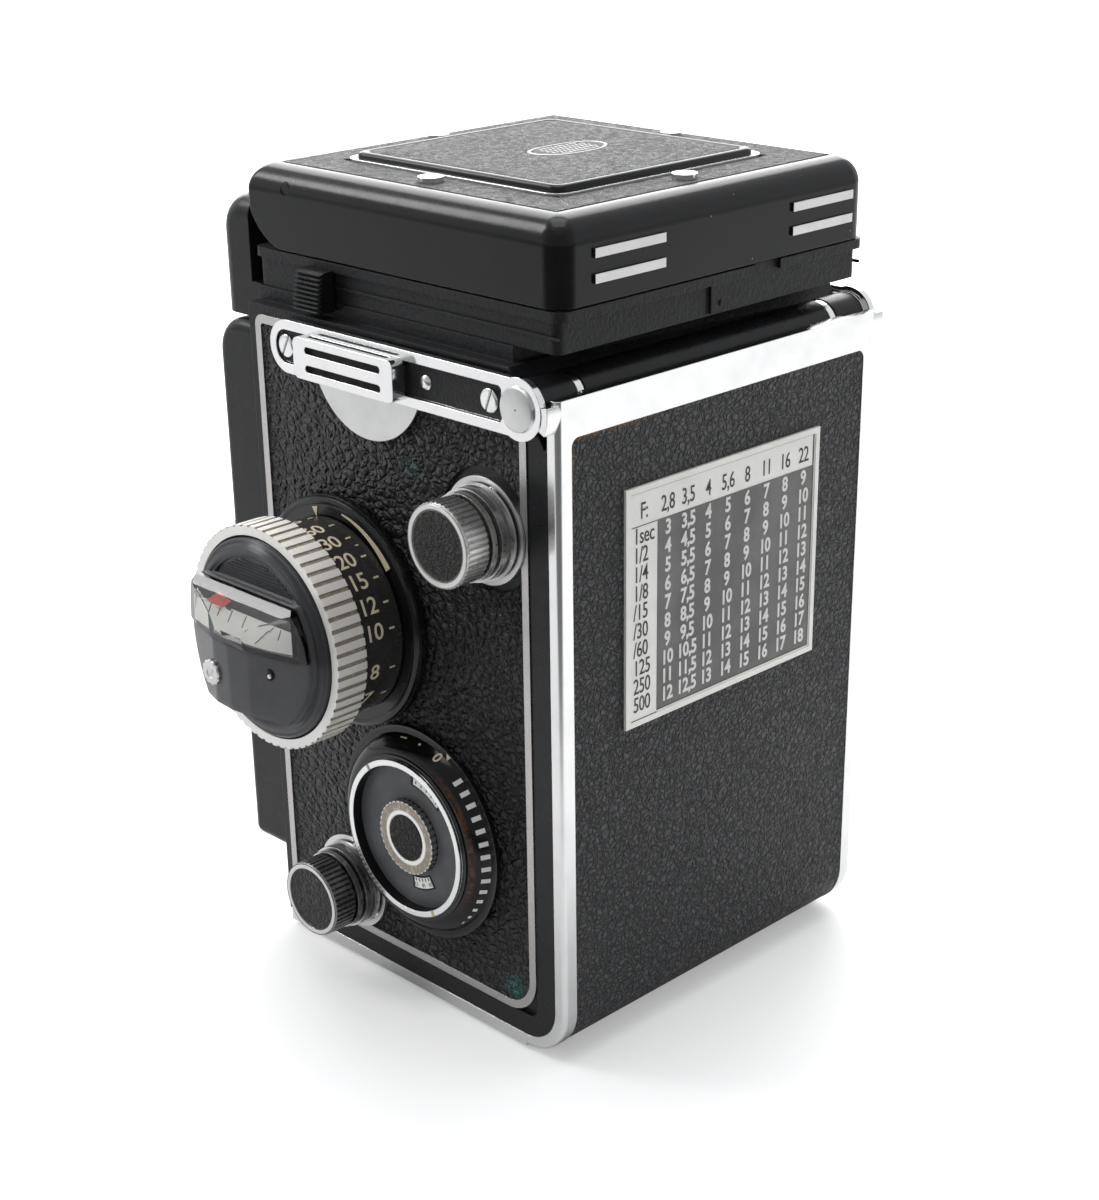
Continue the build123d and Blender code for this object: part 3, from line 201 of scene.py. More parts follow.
def knob_dust(mat, point, color):
    """Dust on the knobs' leather discs, and a reddish rim on the upper one."""
    dust = ramp(mat, noise(mat, point, 1.6, 4.0, 0.7), 0.56, 0.72)
    color = blend_color(mat, times(mat, dust, 0.1), color, (0.1, 0.09, 0.085))
    radius = distance_to(mat, point, (0, UP_Y, UP_Z), (0, 1, 1))
    rim = times(mat, ramp(mat, radius, 4.9, 5.9), ramp(mat, radius, 8.0, 6.5))
    return blend_color(mat, times(mat, rim, 0.4), color, (0.06, 0.02, 0.012))


def brassed(mat, point, color):
    """Brown where the dial's black rim has rubbed thin towards the back."""
    radius = distance_to(mat, point, (0, DIAL_Y, DIAL_Z), (0, 1, 1))
    rim = times(mat, ramp(mat, radius, 15.5, 16.1), ramp(mat, radius, 17.2, 16.5))
    rear = ramp(mat, distance_to(mat, point, (42, DIAL_Y + 15, DIAL_Z + 3)), 17, 7)
    patchy = ramp(mat, noise(mat, point, 0.7, 4.0, 0.7), 0.35, 0.65)
    amount = times(mat, times(mat, rim, rear), patchy)
    return blend_color(mat, times(mat, amount, 0.7), color, (0.12, 0.045, 0.02))


def paint(name, color, roughness, peel=0.02, edge=0.25, dust=0.0, peel_scale=1.2, level=0.2, worn=None):
    """Painted metal: orange peel, faint cloudiness in the gloss, and specks of dust."""
    mat, shader = material(name, color, roughness, Specular_IOR_Level=level)
    point = place_of(mat)
    cloud = noise(mat, point, 0.12, 3.0)
    tint = blend_color(mat, ramp(mat, cloud, 0.35, 0.7), color, [c * 1.35 for c in color])
    if dust:
        dot = ramp(mat, cells(mat, point, 0.16), 0.035, 0.015)
        tint = blend_color(mat, times(mat, dot, dust), tint, (0.5, 0.5, 0.48))
    if worn:
        tint = worn(mat, point, tint)
    link(mat, tint, shader, "Base Color")
    link(mat, ramp(mat, noise(mat, point, 0.5, 4.0), 0.25, 0.75, roughness * 0.85, roughness * 1.2),
         shader, "Roughness")
    under = soft_edge(mat, edge) if edge else None
    link(mat, bump(mat, noise(mat, point, peel_scale, 2.0), peel, 1.0, under), shader, "Normal")
    return mat


def crackle(name, color):
    """Crackle-finish paint of the hood's base."""
    mat, shader = material(name, color, 0.5, Specular_IOR_Level=0.3)
    point = place_of(mat)
    lumps = noise(mat, point, 2.6, 4.0, 0.65)
    height = calc(mat, "MULTIPLY_ADD", lumps, 0.8, cells(mat, point, 1.5, "SMOOTH_F1"))
    link(mat, blend_color(mat, ramp(mat, lumps, 0.35, 0.65), color, [c * 1.7 for c in color]), shader,
         "Base Color")
    link(mat, ramp(mat, lumps, 0.3, 0.7, 0.4, 0.6), shader, "Roughness")
    link(mat, bump(mat, height, 0.09, 1.0, soft_edge(mat, 0.2)), shader, "Normal")
    return mat


def metal(name, color, roughness, scratch=0.15, edge=0.2, dirt=None, dings=None, brushed=None, bare=1.0):
    """Plated or bare metal with fine scratches, smudges, and soft edges."""
    mat, shader = material(name, color, roughness, bare)
    point = place_of(mat)
    lines = noise(mat, vector(mat, "MULTIPLY", point, brushed or (0.5, 3.0, 0.7)), 2.0, 5.0, 0.7)
    smudge = noise(mat, point, 0.22, 3.0)
    tint = blend_color(mat, ramp(mat, smudge, 0.4, 0.75), color, [c * 0.94 for c in color])
    if dirt:
        tint = dirt(mat, point, tint)
    link(mat, tint, shader, "Base Color")
    rough = ramp(mat, lines, 0.3, 0.75, roughness * (1 - scratch), roughness * (1 + scratch))
    link(mat, calc(mat, "MULTIPLY_ADD", ramp(mat, smudge, 0.45, 0.8), 0.05, rough), shader, "Roughness")
    height = times(mat, lines, 0.0 if dings else 0.5)
    if dings:
        height = calc(mat, "ADD", height, dings(mat, point))
    link(mat, bump(mat, height, 0.05 if dings else 0.004, 0.5, soft_edge(mat, edge)), shader, "Normal")
    return mat


def rim_dings(mat, point):
    """Small knocks at the foot of the door's near edge."""
    pit = ramp(mat, cells(mat, point, 0.45), 0.3, 0.12, 0, -2.5)
    near = ramp(mat, distance_to(mat, point, (39, 31, 3)), 16, 8)
    return times(mat, pit, near)


def around(axis_y, axis_z, groove, crest, shade):
    """Dirt and painted shade that lie deeper than `crest` between a knurl's teeth."""
    def dirt(mat, point, tint):
        radius = distance_to(mat, point, (0, axis_y, axis_z), (0, 1, 1))
        deep = ramp(mat, radius, crest, groove)
        speckle = ramp(mat, noise(mat, point, 1.4, 4.0, 0.7), 0.2, 0.55, 0.55, 1.0)
        outside = ramp(mat, radius, groove - 1.6, groove - 1.2)
        amount = times(mat, times(mat, deep, outside), speckle)
        return blend_color(mat, amount, tint, shade)
    return dirt


def clear(name, tint, ior=1.49, roughness=0.02):
    mat, shader = material(name, tint, roughness, Transmission_Weight=1.0, IOR=ior)
    point = place_of(mat)
    link(mat, ramp(mat, noise(mat, point, 0.5, 4.0), 0.45, 0.8, roughness, roughness + 0.06), shader,
         "Roughness")
    link(mat, bump(mat, noise(mat, point, 0.25, 2.0), 0.01, 0.5), shader, "Normal")
    return mat


def coated_glass(name):
    """Lens glass whose coating reflects violet and amber."""
    mat, shader = material(name, (0.8, 0.84, 0.9), 0.01, Transmission_Weight=1.0, IOR=1.52,
                           Coat_Weight=0.6, Coat_Roughness=0.02, Coat_IOR=1.7)
    shader.inputs["Coat Tint"].default_value = (0.75, 0.6, 1.0, 1)
    facing = add(mat, "LayerWeight", {"Blend": 0.35}).outputs["Facing"]
    link(mat, blend_color(mat, facing, (0.78, 0.82, 0.95), (0.95, 0.85, 0.7)), shader, "Base Color")
    return mat


def ink(name, color, roughness=0.45, wear=0.25):
    """Filled engraving or printed marks."""
    mat, shader = material(name, color, roughness)
    point = place_of(mat)
    worn = ramp(mat, noise(mat, point, 2.4, 4.0, 0.7), 0.5, 0.75, 0, wear)
    link(mat, blend_color(mat, worn, color, [c * 0.35 for c in color]), shader, "Base Color")
    return mat


BLACK = (0.0062, 0.0065, 0.0072)
BRIGHT = (0.82, 0.82, 0.82)
SATIN = (0.66, 0.66, 0.655)
WARM = (0.9, 0.87, 0.81)
GRIME_AND_SHADE = (0.2, 0.15, 0.09)
CREAM = (0.78, 0.68, 0.5)
WHITE = (0.82, 0.82, 0.8)

# One black leather in three copies with painted light: the side's copy is painted darker as shade, the
# back's lighter as lit, and the lid's much paler as a painted sheen.
SHADED_SIDE_LEATHER = leather("side_leather", (0.003, 0.003, 0.0034), (0.017, 0.0175, 0.0185), grain=0.8,
                       stretch=(1, 0.75, 1.15), relief=0.85, gloss=0.3, worn=verdigris)
LIT_BACK_LEATHER = leather("lit_back_leather", (0.022, 0.0225, 0.024), (0.062, 0.063, 0.067), grain=1.1,
                       stretch=(0.8, 1, 1.25), relief=0.5, gloss=0.5, worn=frayed_edge)
SHEEN_LIT_TOP_LEATHER = leather("sheen_lit_top_leather", (0.06, 0.06, 0.061), (0.15, 0.15, 0.152), grain=2.0, relief=0.2,
                      gloss=0.6)
DISC_LEATHER = leather("disc_leather", (0.006, 0.006, 0.006), (0.022, 0.021, 0.021), grain=1.3, relief=0.3,
                       gloss=0.42, worn=knob_dust)
SATIN_PAINT = paint("satin_black_paint", BLACK, 0.2, peel=0.006, dust=0.5, level=0.27)
BODY_PAINT = paint("body_black_paint", [c * 1.5 for c in BLACK], 0.3, peel=0.015, level=0.25)
CRACKLE = crackle("crackle_black_paint", (0.008, 0.0085, 0.0095))
MATT_BLACK = paint("matt_black", (0.008, 0.008, 0.008), 0.6, peel=0.03, peel_scale=4.0)
ANODISED = paint("black_anodised", (0.006, 0.006, 0.0065), 0.17, peel=0.004, edge=0.15, level=0.4)
SCALE_FACE = paint("scale_ring_black", (0.03, 0.028, 0.0275), 0.25, peel=0.004, edge=0.15, level=0.4)
DARK_FACE = paint("dark_dial_face", (0.085, 0.087, 0.093), 0.38, peel=0.01, edge=0.1, peel_scale=5.0)
BLACK_PLASTIC = paint("black_plastic", (0.034, 0.035, 0.038), 0.22, peel=0.003, edge=1.5, level=0.5)
CHROME = metal("bright_chrome", BRIGHT, 0.13)
TRIM_METAL = metal("side_trim_metal", (0.5, 0.485, 0.47), 0.3, edge=0.1)
BADGE_METAL = metal("badge_metal", (0.3, 0.3, 0.3), 0.4, edge=0.05)
DOOR_CHROME = metal("door_chrome", BRIGHT, 0.17, dings=rim_dings)
SATIN_CHROME = metal("satin_chrome", SATIN, 0.34, edge=0.15)
FLAT_SATIN = metal("brushed_bars", (0.7, 0.7, 0.69), 0.42, edge=0.1, brushed=(4.0, 0.4, 4.0))
# painted shade with dirt: each knurl's grooves are coloured darker, the lower knob's near-black
GRIP_METAL = metal("grip_alloy", WARM, 0.45, edge=0.08, dirt=around(FOC_Y, FOC_Z, 19.35, 19.7, GRIME_AND_SHADE),
                   bare=0.3)
RIM_METAL = metal("rim_alloy", (0.93, 0.92, 0.89), 0.4, edge=0.08, bare=0.35)
UPPER_KNURL = metal("upper_knurl", SATIN, 0.3, edge=0.08,
                    dirt=around(UP_Y, UP_Z, 6.75, 7.1, (0.2, 0.18, 0.15)))
LOWER_KNURL = metal("lower_knurl", SATIN, 0.3, edge=0.08,
                    dirt=around(LO_Y, LO_Z, 6.85, 7.2, (0.045, 0.045, 0.045)))
SPEED_KNURL = metal("speed_knurl", (0.8, 0.79, 0.76), 0.25, edge=0.08,
                    dirt=around(DIAL_Y, DIAL_Z, 6.5, 6.9, (0.25, 0.22, 0.18)))
STEEL = metal("steel", (0.55, 0.55, 0.56), 0.28)
MIRROR = metal("front_silvered_mirror", (0.93, 0.93, 0.93), 0.03, scratch=0.1)
DARK_METAL = paint("dark_machined", (0.05, 0.05, 0.053), 0.45, peel=0.02)
ENAMEL = paint("black_enamel", (0.15, 0.145, 0.142), 0.35, peel=0.006, edge=0.1)
PALE_ENAMEL = metal("engraved_plate", (0.92, 0.905, 0.87), 0.5, edge=0.1, bare=0.1)
DIAL_BLACK = paint("dial_black", (0.004, 0.004, 0.0045), 0.13, peel=0.004, edge=0.15, level=0.3,
                   worn=brassed)
NEEDLE = paint("needle_black", (0.012, 0.012, 0.012), 0.4, peel=0.003, edge=0.05)
RED = paint("red_lacquer", (0.65, 0.035, 0.02), 0.3, peel=0.005, edge=0.05)
CLEAR = clear("clear_plastic", (0.97, 0.97, 0.95))
GROUND = clear("ground_glass", (0.85, 0.87, 0.87), roughness=0.55)
CELL = clear("cell_plastic", (0.9, 0.9, 0.86), roughness=0.2)
GLASS = coated_glass("coated_lens_glass")
CREAM_INK = ink("cream_engraving", CREAM)
GOLD_INK = ink("worn_engraving", (0.55, 0.42, 0.27), wear=0.5)
WHITE_INK = ink("white_print", WHITE, wear=0.12)
PALE_SCALE = ink("pale_scale", (0.93, 0.93, 0.9), 0.35, wear=0.04)
GREY_INK = ink("grey_print", (0.045, 0.043, 0.042), 0.5, wear=0.0)
BLACK_INK = ink("black_print", (0.01, 0.01, 0.01), 0.5, wear=0.0)


# --- geometry helpers: local points are millimetres (across, up, out) on a face ---
FACES = {"left": ((0, 1, 0), (0, 0, 1), (1, 0, 0)),      # +X side, seen from outside
         "right": ((0, -1, 0), (0, 0, 1), (-1, 0, 0)),
         "front": ((1, 0, 0), (0, 0, 1), (0, -1, 0)),
         "back": ((-1, 0, 0), (0, 0, 1), (0, 1, 0)),
         "top": ((1, 0, 0), (0, 1, 0), (0, 0, 1)),
         "under": ((1, 0, 0), (0, -1, 0), (0, 0, -1))}


def facing(side, origin):
    """Matrix from a face's (across, up, out) to the row frame, in millimetres."""
    across, up, out = (Vector(v) for v in FACES[side])
    m = Matrix((across, up, out)).transposed().to_4x4()
    m.translation = Vector(origin)
    return m


def moved(x, y, z):
    return Matrix.Translation((x, y, z))


def spun(angle, axis="Z"):
    return Matrix.Rotation(angle, 4, axis)


def left(y, z, x):
    return facing("left", (x, y, z))


def front(x, z, y):
    return facing("front", (x, y, z))


def piece(name, parts, mat, body="camera_body", bevel=0.0, smooth=35):
    """One object from a list of (points, faces, matrix); its points end up in metres in the row frame."""
    points, faces = [], []
    for part_points, part_faces, matrix in parts:
        start = len(points)
        points += [(matrix @ Vector(p)) * MM for p in part_points]
        faces += [[start + i for i in face] for face in part_faces]
    mesh = bpy.data.meshes.new(name)
    mesh.from_pydata(points, [], faces)
    mesh.update()
    mesh.materials.append(mat)
    obj = bpy.data.objects.new(name, mesh)
    bpy.context.scene.collection.objects.link(obj)
    mesh.shade_smooth()
    mesh.set_sharp_from_angle(angle=radians(smooth))
    if bevel:
        mod = obj.modifiers.new("soft_edges", "BEVEL")
        mod.width = bevel * MM
        mod.segments = 2
        mod.limit_method = "ANGLE"
        mod.angle_limit = radians(smooth)
        mod.harden_normals = True
    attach(obj, body)
    return obj


def lathe(profile, matrix, steps=96, wave=None):
    """Profile of (radius, out) turned about the matrix's out axis; a radius of 0 makes a pole."""
    points, faces, rows = [], [], []
    for r, h in profile:
        if r == 0:
            rows.append([len(points)] * steps)
            points.append((0, 0, h))
            continue
        rows.append(list(range(len(points), len(points) + steps)))
        for i in range(steps):
            a = 2 * pi * i / steps
            k = r + (wave(i, r) if wave else 0)
            points.append((k * cos(a), k * sin(a), h))
    for low, high in zip(rows, rows[1:]):
        for i in range(steps):
            j = (i + 1) % steps
            face = [low[i], low[j], high[j], high[i]]
            face = [v for n, v in enumerate(face) if v != face[n - 1]]
            if len(face) > 2:
                faces.append(face)
    return points, faces, matrix


def rounded(width, height, radius, steps=6):
    """Outline of a rounded rectangle about the middle."""
    out = []
    for cx, cy, a0 in ((1, 1, 0), (-1, 1, 90), (-1, -1, 180), (1, -1, 270)):
        for i in range(steps + 1):
            a = radians(a0 + 90 * i / steps)
            out.append((cx * (width / 2 - radius) + radius * cos(a),
                        cy * (height / 2 - radius) + radius * sin(a)))
    return out


def circle(r, cx=0.0, cy=0.0, steps=48):
    return [(cx + r * cos(2 * pi * i / steps), cy + r * sin(2 * pi * i / steps)) for i in range(steps)]


def closed_stack(n, levels):
    """Faces of a solid whose points are `levels` rings of n points each."""
    faces = [list(range(n))[::-1], list(range((levels - 1) * n, levels * n))]
    for low in range(0, (levels - 1) * n, n):
        faces += [[low + i, low + (i + 1) % n, low + n + (i + 1) % n, low + n + i] for i in range(n)]
    return faces


def loft(rings, matrix):
    """Outlines with the same number of points, given as (outline, out), closed at both ends."""
    points = [(x, y, h) for outline, h in rings for x, y in outline]
    return points, closed_stack(len(rings[0][0]), len(rings)), matrix


def box(x0, x1, y0, y1):
    return [(x0, y0), (x1, y0), (x1, y1), (x0, y1)]


def slab(outline, low, high, matrix):
    """An outline raised from low to high."""
    return loft([(outline, low), (outline, high)], matrix)


def plate(outlines, low, high, matrix):
    """Flat plate with holes: the first outline is its edge, the others are its holes."""
    curve = bpy.data.curves.new("plate", "CURVE")
    curve.dimensions = "2D"
    curve.fill_mode = "BOTH"
    curve.extrude = (high - low) / 2
    for outline in outlines:
        spline = curve.splines.new("POLY")
        spline.points.add(len(outline) - 1)
        for point, (x, y) in zip(spline.points, outline):
            point.co = (x, y, 0, 1)
        spline.use_cyclic_u = True
    return from_curve(curve, matrix @ moved(0, 0, (low + high) / 2))


def from_curve(curve, matrix):
    obj = bpy.data.objects.new(curve.name, curve)
    mesh = bpy.data.meshes.new_from_object(obj)
    points = [tuple(v.co) for v in mesh.vertices]
    faces = [list(p.vertices) for p in mesh.polygons]
    bpy.data.objects.remove(obj)
    bpy.data.meshes.remove(mesh)
    bpy.data.curves.remove(curve)
    return points, faces, matrix


def text(words, size, matrix, depth=0.06, align="CENTER", condense=1.0, bold=0.0):
    curve = bpy.data.curves.new("text", "FONT")
    curve.body = words
    curve.size = size
    curve.extrude = depth / 2
    curve.offset = bold
    curve.align_x = align
    curve.align_y = "CENTER"
    curve.resolution_u = 3
    curve.space_character = 0.95
    return from_curve(curve, matrix @ Matrix.Diagonal((condense, 1, 1, 1)))


def on_ring(part, x, angle):
    """Bends a mark's points round the focusing scale: it reads towards -X, with its head up the turn."""
    points, faces, _ = part
    bent = []
    for across, up, high in points:
        a = radians(angle) + up / (RING_R + MARK_LIFT)
        r = RING_R + MARK_LIFT + high
        bent.append((x - across, FOC_Y + r * cos(a), FOC_Z + r * sin(a)))
    return bent, faces, Matrix()


def finish_node(name, *mats):
    """Gives a CAD node its materials."""
    mesh = NODES[name].data
    mesh.materials.clear()
    for mat in mats:
        mesh.materials.append(mat)
    return mesh


def two_tone(name, outer, inner, is_inner):
    """Two finishes on one CAD node, chosen face by face."""
    mesh = finish_node(name, outer, inner)
    for polygon in mesh.polygons:
        polygon.material_index = 1 if is_inner(polygon.center / MM, polygon.normal) else 0


# --- finishes of the CAD nodes ---
def dress_cad():
    for names, mat in (
            # painted light: side and board, back, and lid take the shaded, lit and sheen-lit leather copies
            (("side_leathers",), SHADED_SIDE_LEATHER),
            (("rear_leather",), LIT_BACK_LEATHER),
            (("lid_leather",), SHEEN_LIT_TOP_LEATHER),
            (("cell_housing", "lens_board"), BODY_PAINT),
            (("light_box", "hood_leaf_left", "hood_leaf_right", "hood_leaf_rear", "magnifier_frame",
              "pressure_plate", "take_up_spool"), MATT_BLACK),
            (("lens_carriage",), DARK_METAL),
            (("focus_base_ring", "dial_base_ring", "crank_base"), ANODISED),
            (("focus_scale_ring",), SCALE_FACE),
            (("meter_core", "crank_handle"), BLACK_PLASTIC),
            (("side_trims",), TRIM_METAL),
            (("strap_plates", "strap_lugs", "lid_studs", "finder_trim",
              "viewing_lens_mount", "taking_lens_mount", "sync_socket", "release_button"), CHROME),
            (("guard_plates", "spool_flanges", "crank_arm", "aperture_wheel", "speed_wheel",
              "timer_lever", "door_latch"), SATIN_CHROME),
            (("upper_spool_knob",), UPPER_KNURL),
            (("lower_spool_knob",), LOWER_KNURL),
            (("film_speed_knob",), SPEED_KNURL),
            (("focus_cam", "wind_spindle", "film_roller", "tripod_socket"), STEEL),
            (("viewing_mirror",), MIRROR),
            (("meter_window",), CLEAR),
            (("cell_window",), CELL),
            (("focusing_screen",), GROUND),
            (("lens_glasses", "magnifier_lens"), GLASS),
            (("meter_needle",), NEEDLE),
            (("exposure_table",), PALE_ENAMEL)):
        for name in names:
            finish_node(name, mat)
    two_tone("body_casting", BODY_PAINT, CRACKLE, lambda c, n: c.z > 121.0)
    two_tone("hood_base", CRACKLE, MATT_BLACK,
             lambda c, n: abs(c.x) < 34.75 and -36.05 < c.y < 34.35)
    two_tone("hood_lid", SATIN_PAINT, MATT_BLACK,
             lambda c, n: c.z < 143.4 and abs(c.x) < 35.65 and -37.4 < c.y < 34.8)
    two_tone("rear_cover", DOOR_CHROME, MATT_BLACK,
             lambda c, n: n.y < -0.3 and abs(c.x) < 38.9 and c.z < 116.9)
    two_tone("base_plate", DOOR_CHROME, MATT_BLACK, lambda c, n: n.z > 0.5)
    two_tone("focus_grip", GRIP_METAL, RIM_METAL, lambda c, n: n.x > 0.9)
    two_tone("film_speed_dial", ANODISED, CHROME,
             lambda c, n: c.x > 43.25 and hypot(c.y - DIAL_Y, c.z - DIAL_Z) > 13)


# --- focusing knob ---
RING_R, MARK_LIFT = 17.4, 0.03
FEET = (("∞", 100), ("60", 81.3), ("30", 66.7), ("20", 52), ("15", 38.1), ("12", 23.6),
        ("10", 8.7), ("8", -15.2), ("7", -35), ("6", -57), ("5", -82), ("4", -112))
HALF_TICK = 60                       # short mark between 30 and 20


def focus_scale():
    marks = []
    for words, angle in FEET:
        marks.append(on_ring(text(words, 4.1, Matrix(), 0.08, condense=0.85, bold=0.03), 47.6, angle))
        marks.append(on_ring(slab(rounded(1.1, 0.34, 0.05, 1), -0.04, 0.04, Matrix()), 43.8, angle))
    marks.append(on_ring(slab(rounded(0.6, 0.26, 0.05, 1), -0.04, 0.04, Matrix()), 43.5, HALF_TICK))
    piece("focus_numerals", marks, CREAM_INK, "focus_drive")


def arc_strip(r0, r1, a0, a1, low, high, matrix, steps=24, r0_end=None):
    """Part of a flat ring between two angles; `r0_end` lets its inner edge drift."""
    points, faces = [], []
    for i in range(steps + 1):
        a = radians(a0 + (a1 - a0) * i / steps)
        inner = r0 + ((r0_end or r0) - r0) * i / steps
        for r, h in ((inner, low), (r1, low), (r1, high), (inner, high)):
            points.append((r * cos(a), r * sin(a), h))
    for i in range(steps):
        for k in range(4):
            faces.append([4 * i + k, 4 * i + (k + 1) % 4, 4 * i + 4 + (k + 1) % 4, 4 * i + 4 + k])
    faces += [[0, 3, 2, 1], [4 * steps + k for k in range(4)]]
    return points, faces, matrix


def focus_ring_details():
    at = left(FOC_Y, FOC_Z, 0)
    # pale depth-of-field arc and pointer on the fixed ring
    piece("depth_arc", [arc_strip(17.55, 18.9, 39, 82, 41.42, 41.5, at, 30, 18.65)], CREAM_INK)
    pointer = [(-0.75, 0.9), (0.75, 0.9), (0, -0.9)]
    spin = spun(radians(13.8)) @ moved(0, 18.1, 0)
    piece("focus_pointer", [slab(pointer, 41.42, 41.54, at @ spin)], CREAM_INK)
    # bead round the fixed flange
    bead = [(19.3, 40.5), (19.4, 41.35), (20.0, 41.5), (20.6, 41.2), (20.85, 40.6), (20.9, 39.4)]
    piece("focus_flange_bead", [lathe(bead, at, 128)], ANODISED)
    # turned grooves on the inner face of the knob
    bezel = [(17.5, 57.6), (17.5, 58.0), (17.2, 58.25), (16.9, 58.1), (16.6, 58.3), (16.1, 58.95),
             (15.4, 59.0), (15.0, 58.9), (14.65, 58.6), (14.6, 58.2)]
    piece("meter_bezel", [lathe(bezel, at, 128)], BLACK_PLASTIC)


def hatched(name, z_low, z_high, radius, x, pitch):
    """Field of small studs inside a circle, between two heights."""
    parts = []
    count = int(radius / pitch)
    at = left(FOC_Y, FOC_Z, x)
    for i in range(-count, count + 1):
        for j in range(floor(z_low / pitch), floor(z_high / pitch) + 1):
            y, z = i * pitch, j * pitch
            if not z_low + pitch / 2 < z < z_high - pitch / 2 or hypot(y, z) > radius - pitch:
                continue
            foot, top = pitch * 0.44, pitch * 0.24
            points = [(y + a * h, z + b * h, rise) for h, rise in ((foot, -0.02), (top, 0.26))
                      for a, b in ((-1, -1), (1, -1), (1, 1), (-1, 1))]
            faces = [[4, 5, 6, 7], [0, 1, 5, 4], [1, 2, 6, 5], [2, 3, 7, 6], [3, 0, 4, 7]]
            parts.append((points, faces, at))
    piece(name, parts, DARK_FACE, smooth=10)


def meter_block():
    hatched("hatch_upper", 9.6, 14.5, 14.5, 58.42, 0.56)
    hatched("hatch_lower", -14.5, -11.9, 14.5, 58.42, 0.56)
    at = left(FOC_Y, FOC_Z, 0)

    def on_scale(y, t, out=0.0):
        """Point of the slanting scale plate: t runs from its bowed outer edge to its straight inner one."""
        bow = 60.95 + 2.2 * (1 - ((y + 1.5) / 14.6) ** 2)
        return (y, 1.5 + 3.6 * t + out, bow + (60.75 - bow) * t + out)
    ys = [-13.0 + 26.0 * i / 26 for i in range(27)]
    points = [on_scale(y, t, out) for out in (-0.06, 0.0) for y in ys for t in (0, 1)]
    n = 2 * len(ys)
    faces = []
    for i in range(0, n - 2, 2):
        faces += [[n + i, n + i + 2, n + i + 3, n + i + 1], [i, i + 1, i + 3, i + 2],
                  [i, i + 2, n + i + 2, n + i], [i + 1, n + i + 1, n + i + 3, i + 3]]
    faces += [[0, n, n + 1, 1], [n - 2, n - 1, 2 * n - 1, 2 * n - 2]]
    piece("meter_scale", [(points, faces, at)], PALE_SCALE)
    marks = []
    for y, t0, t1, lean in ((-9.0, 0.55, 0.95, 0.0), (-6.4, 0.55, 0.9, 0.0), (-3.2, 0.5, 0.95, 0.0),
                            (0.6, 0.45, 0.95, 0.0), (4.6, 0.1, 0.95, 2.6), (9.0, 0.5, 0.95, 0.0)):
        edge = [on_scale(y + across, t, 0.03)
                for across, t in ((-0.13, t0), (0.13, t0), (lean + 0.13, t1), (lean - 0.13, t1))]
        marks.append((edge, [[0, 1, 2, 3]], at))
    piece("meter_scale_marks", marks, BLACK_INK)
    index = [(-10.0, 5.2), (-6.6, 7.4), (-3.0, 6.8), (-6.0, 4.6)]
    piece("meter_index", [slab(index, 61.15, 61.3, at)], RED, bevel=0.05)
    piece("meter_trough", [slab([(-14.0, 5.2), (14.0, 5.2), (12.9, 8.15), (-12.9, 8.15)], 60.21, 60.3, at)],
          MATT_BLACK)
    # knurled zero screw in its well, and a small pin in a hole whose shade is painted as a black disc
    screw = left(FOC_Y - 7.0, FOC_Z - 6.3, 63.2)
    piece("zero_screw", [lathe([(0, 0.85), (0.9, 0.85), (1.0, 1.0), (1.9, 1.0), (2.15, 0.8), (2.15, 0.0)],
                               screw, 72, lambda i, r: 0.17 * (i % 6 < 3) * (r > 1.5)),
                         slab(box(-0.8, 0.8, -0.2, 0.2), 0.85, 0.95, screw @ spun(radians(40)))],
          SATIN_CHROME, bevel=0.04)
    pin = left(FOC_Y + 7.3, FOC_Z - 3.1, 62.45)
    piece("meter_pin_hole_shade", [lathe([(0, 0.06), (0.85, 0.06), (0.95, 0.12), (1.05, 0.02)], pin, 32)],
          MATT_BLACK)
    piece("meter_pin", [lathe([(0, 0.32), (0.3, 0.25), (0.42, 0.05)], pin @ moved(0.15, -0.25, 0), 24)],
          GRIP_METAL)


# --- exposure dial ---
SKIRT = ((17.6, 41.9), (18.5, 40.15))    # radius and X at the top and foot of the skirt


def dial_skirt():
    at = left(DIAL_Y, DIAL_Z, 0)
    profile = [(15.42, 42.9), (15.9, 42.85), (16.6, 42.5), *SKIRT, (18.65, 40.12), (19.3, 40.1),
               (19.7, 39.8), (19.8, 39.4)]
    piece("dial_skirt", [lathe(profile, at, 160)], DIAL_BLACK)
    (r0, x0), (r1, x1) = SKIRT
    slope = hypot(r1 - r0, x1 - x0)
    bars = []
    for i in range(14):
        angle = 50.1 - 7.35 * i
        length = 1.7 if i < 9 else 1.7 - 0.28 * (i - 8)
        a = radians(angle)
        points = []
        for along, side in ((0.2, -1), (0.2, 1), (0.2 + length, 1), (0.2 + length, -1)):
            t = along / slope
            r = r0 + (r1 - r0) * t + 0.04
            w = side * 0.42 / r
            points.append((r * cos(a + w), r * sin(a + w), x0 + (x1 - x0) * t + 0.03))
        bars.append((points, [[0, 1, 2, 3]], at))
    piece("dial_bars", bars, WHITE_INK)


def on_dial(angle, r, x):
    """Frame on a flat of the dial: its second axis points outwards."""
    a = radians(angle)
    return moved(r * cos(a), r * sin(a), x) @ spun(a - pi / 2)


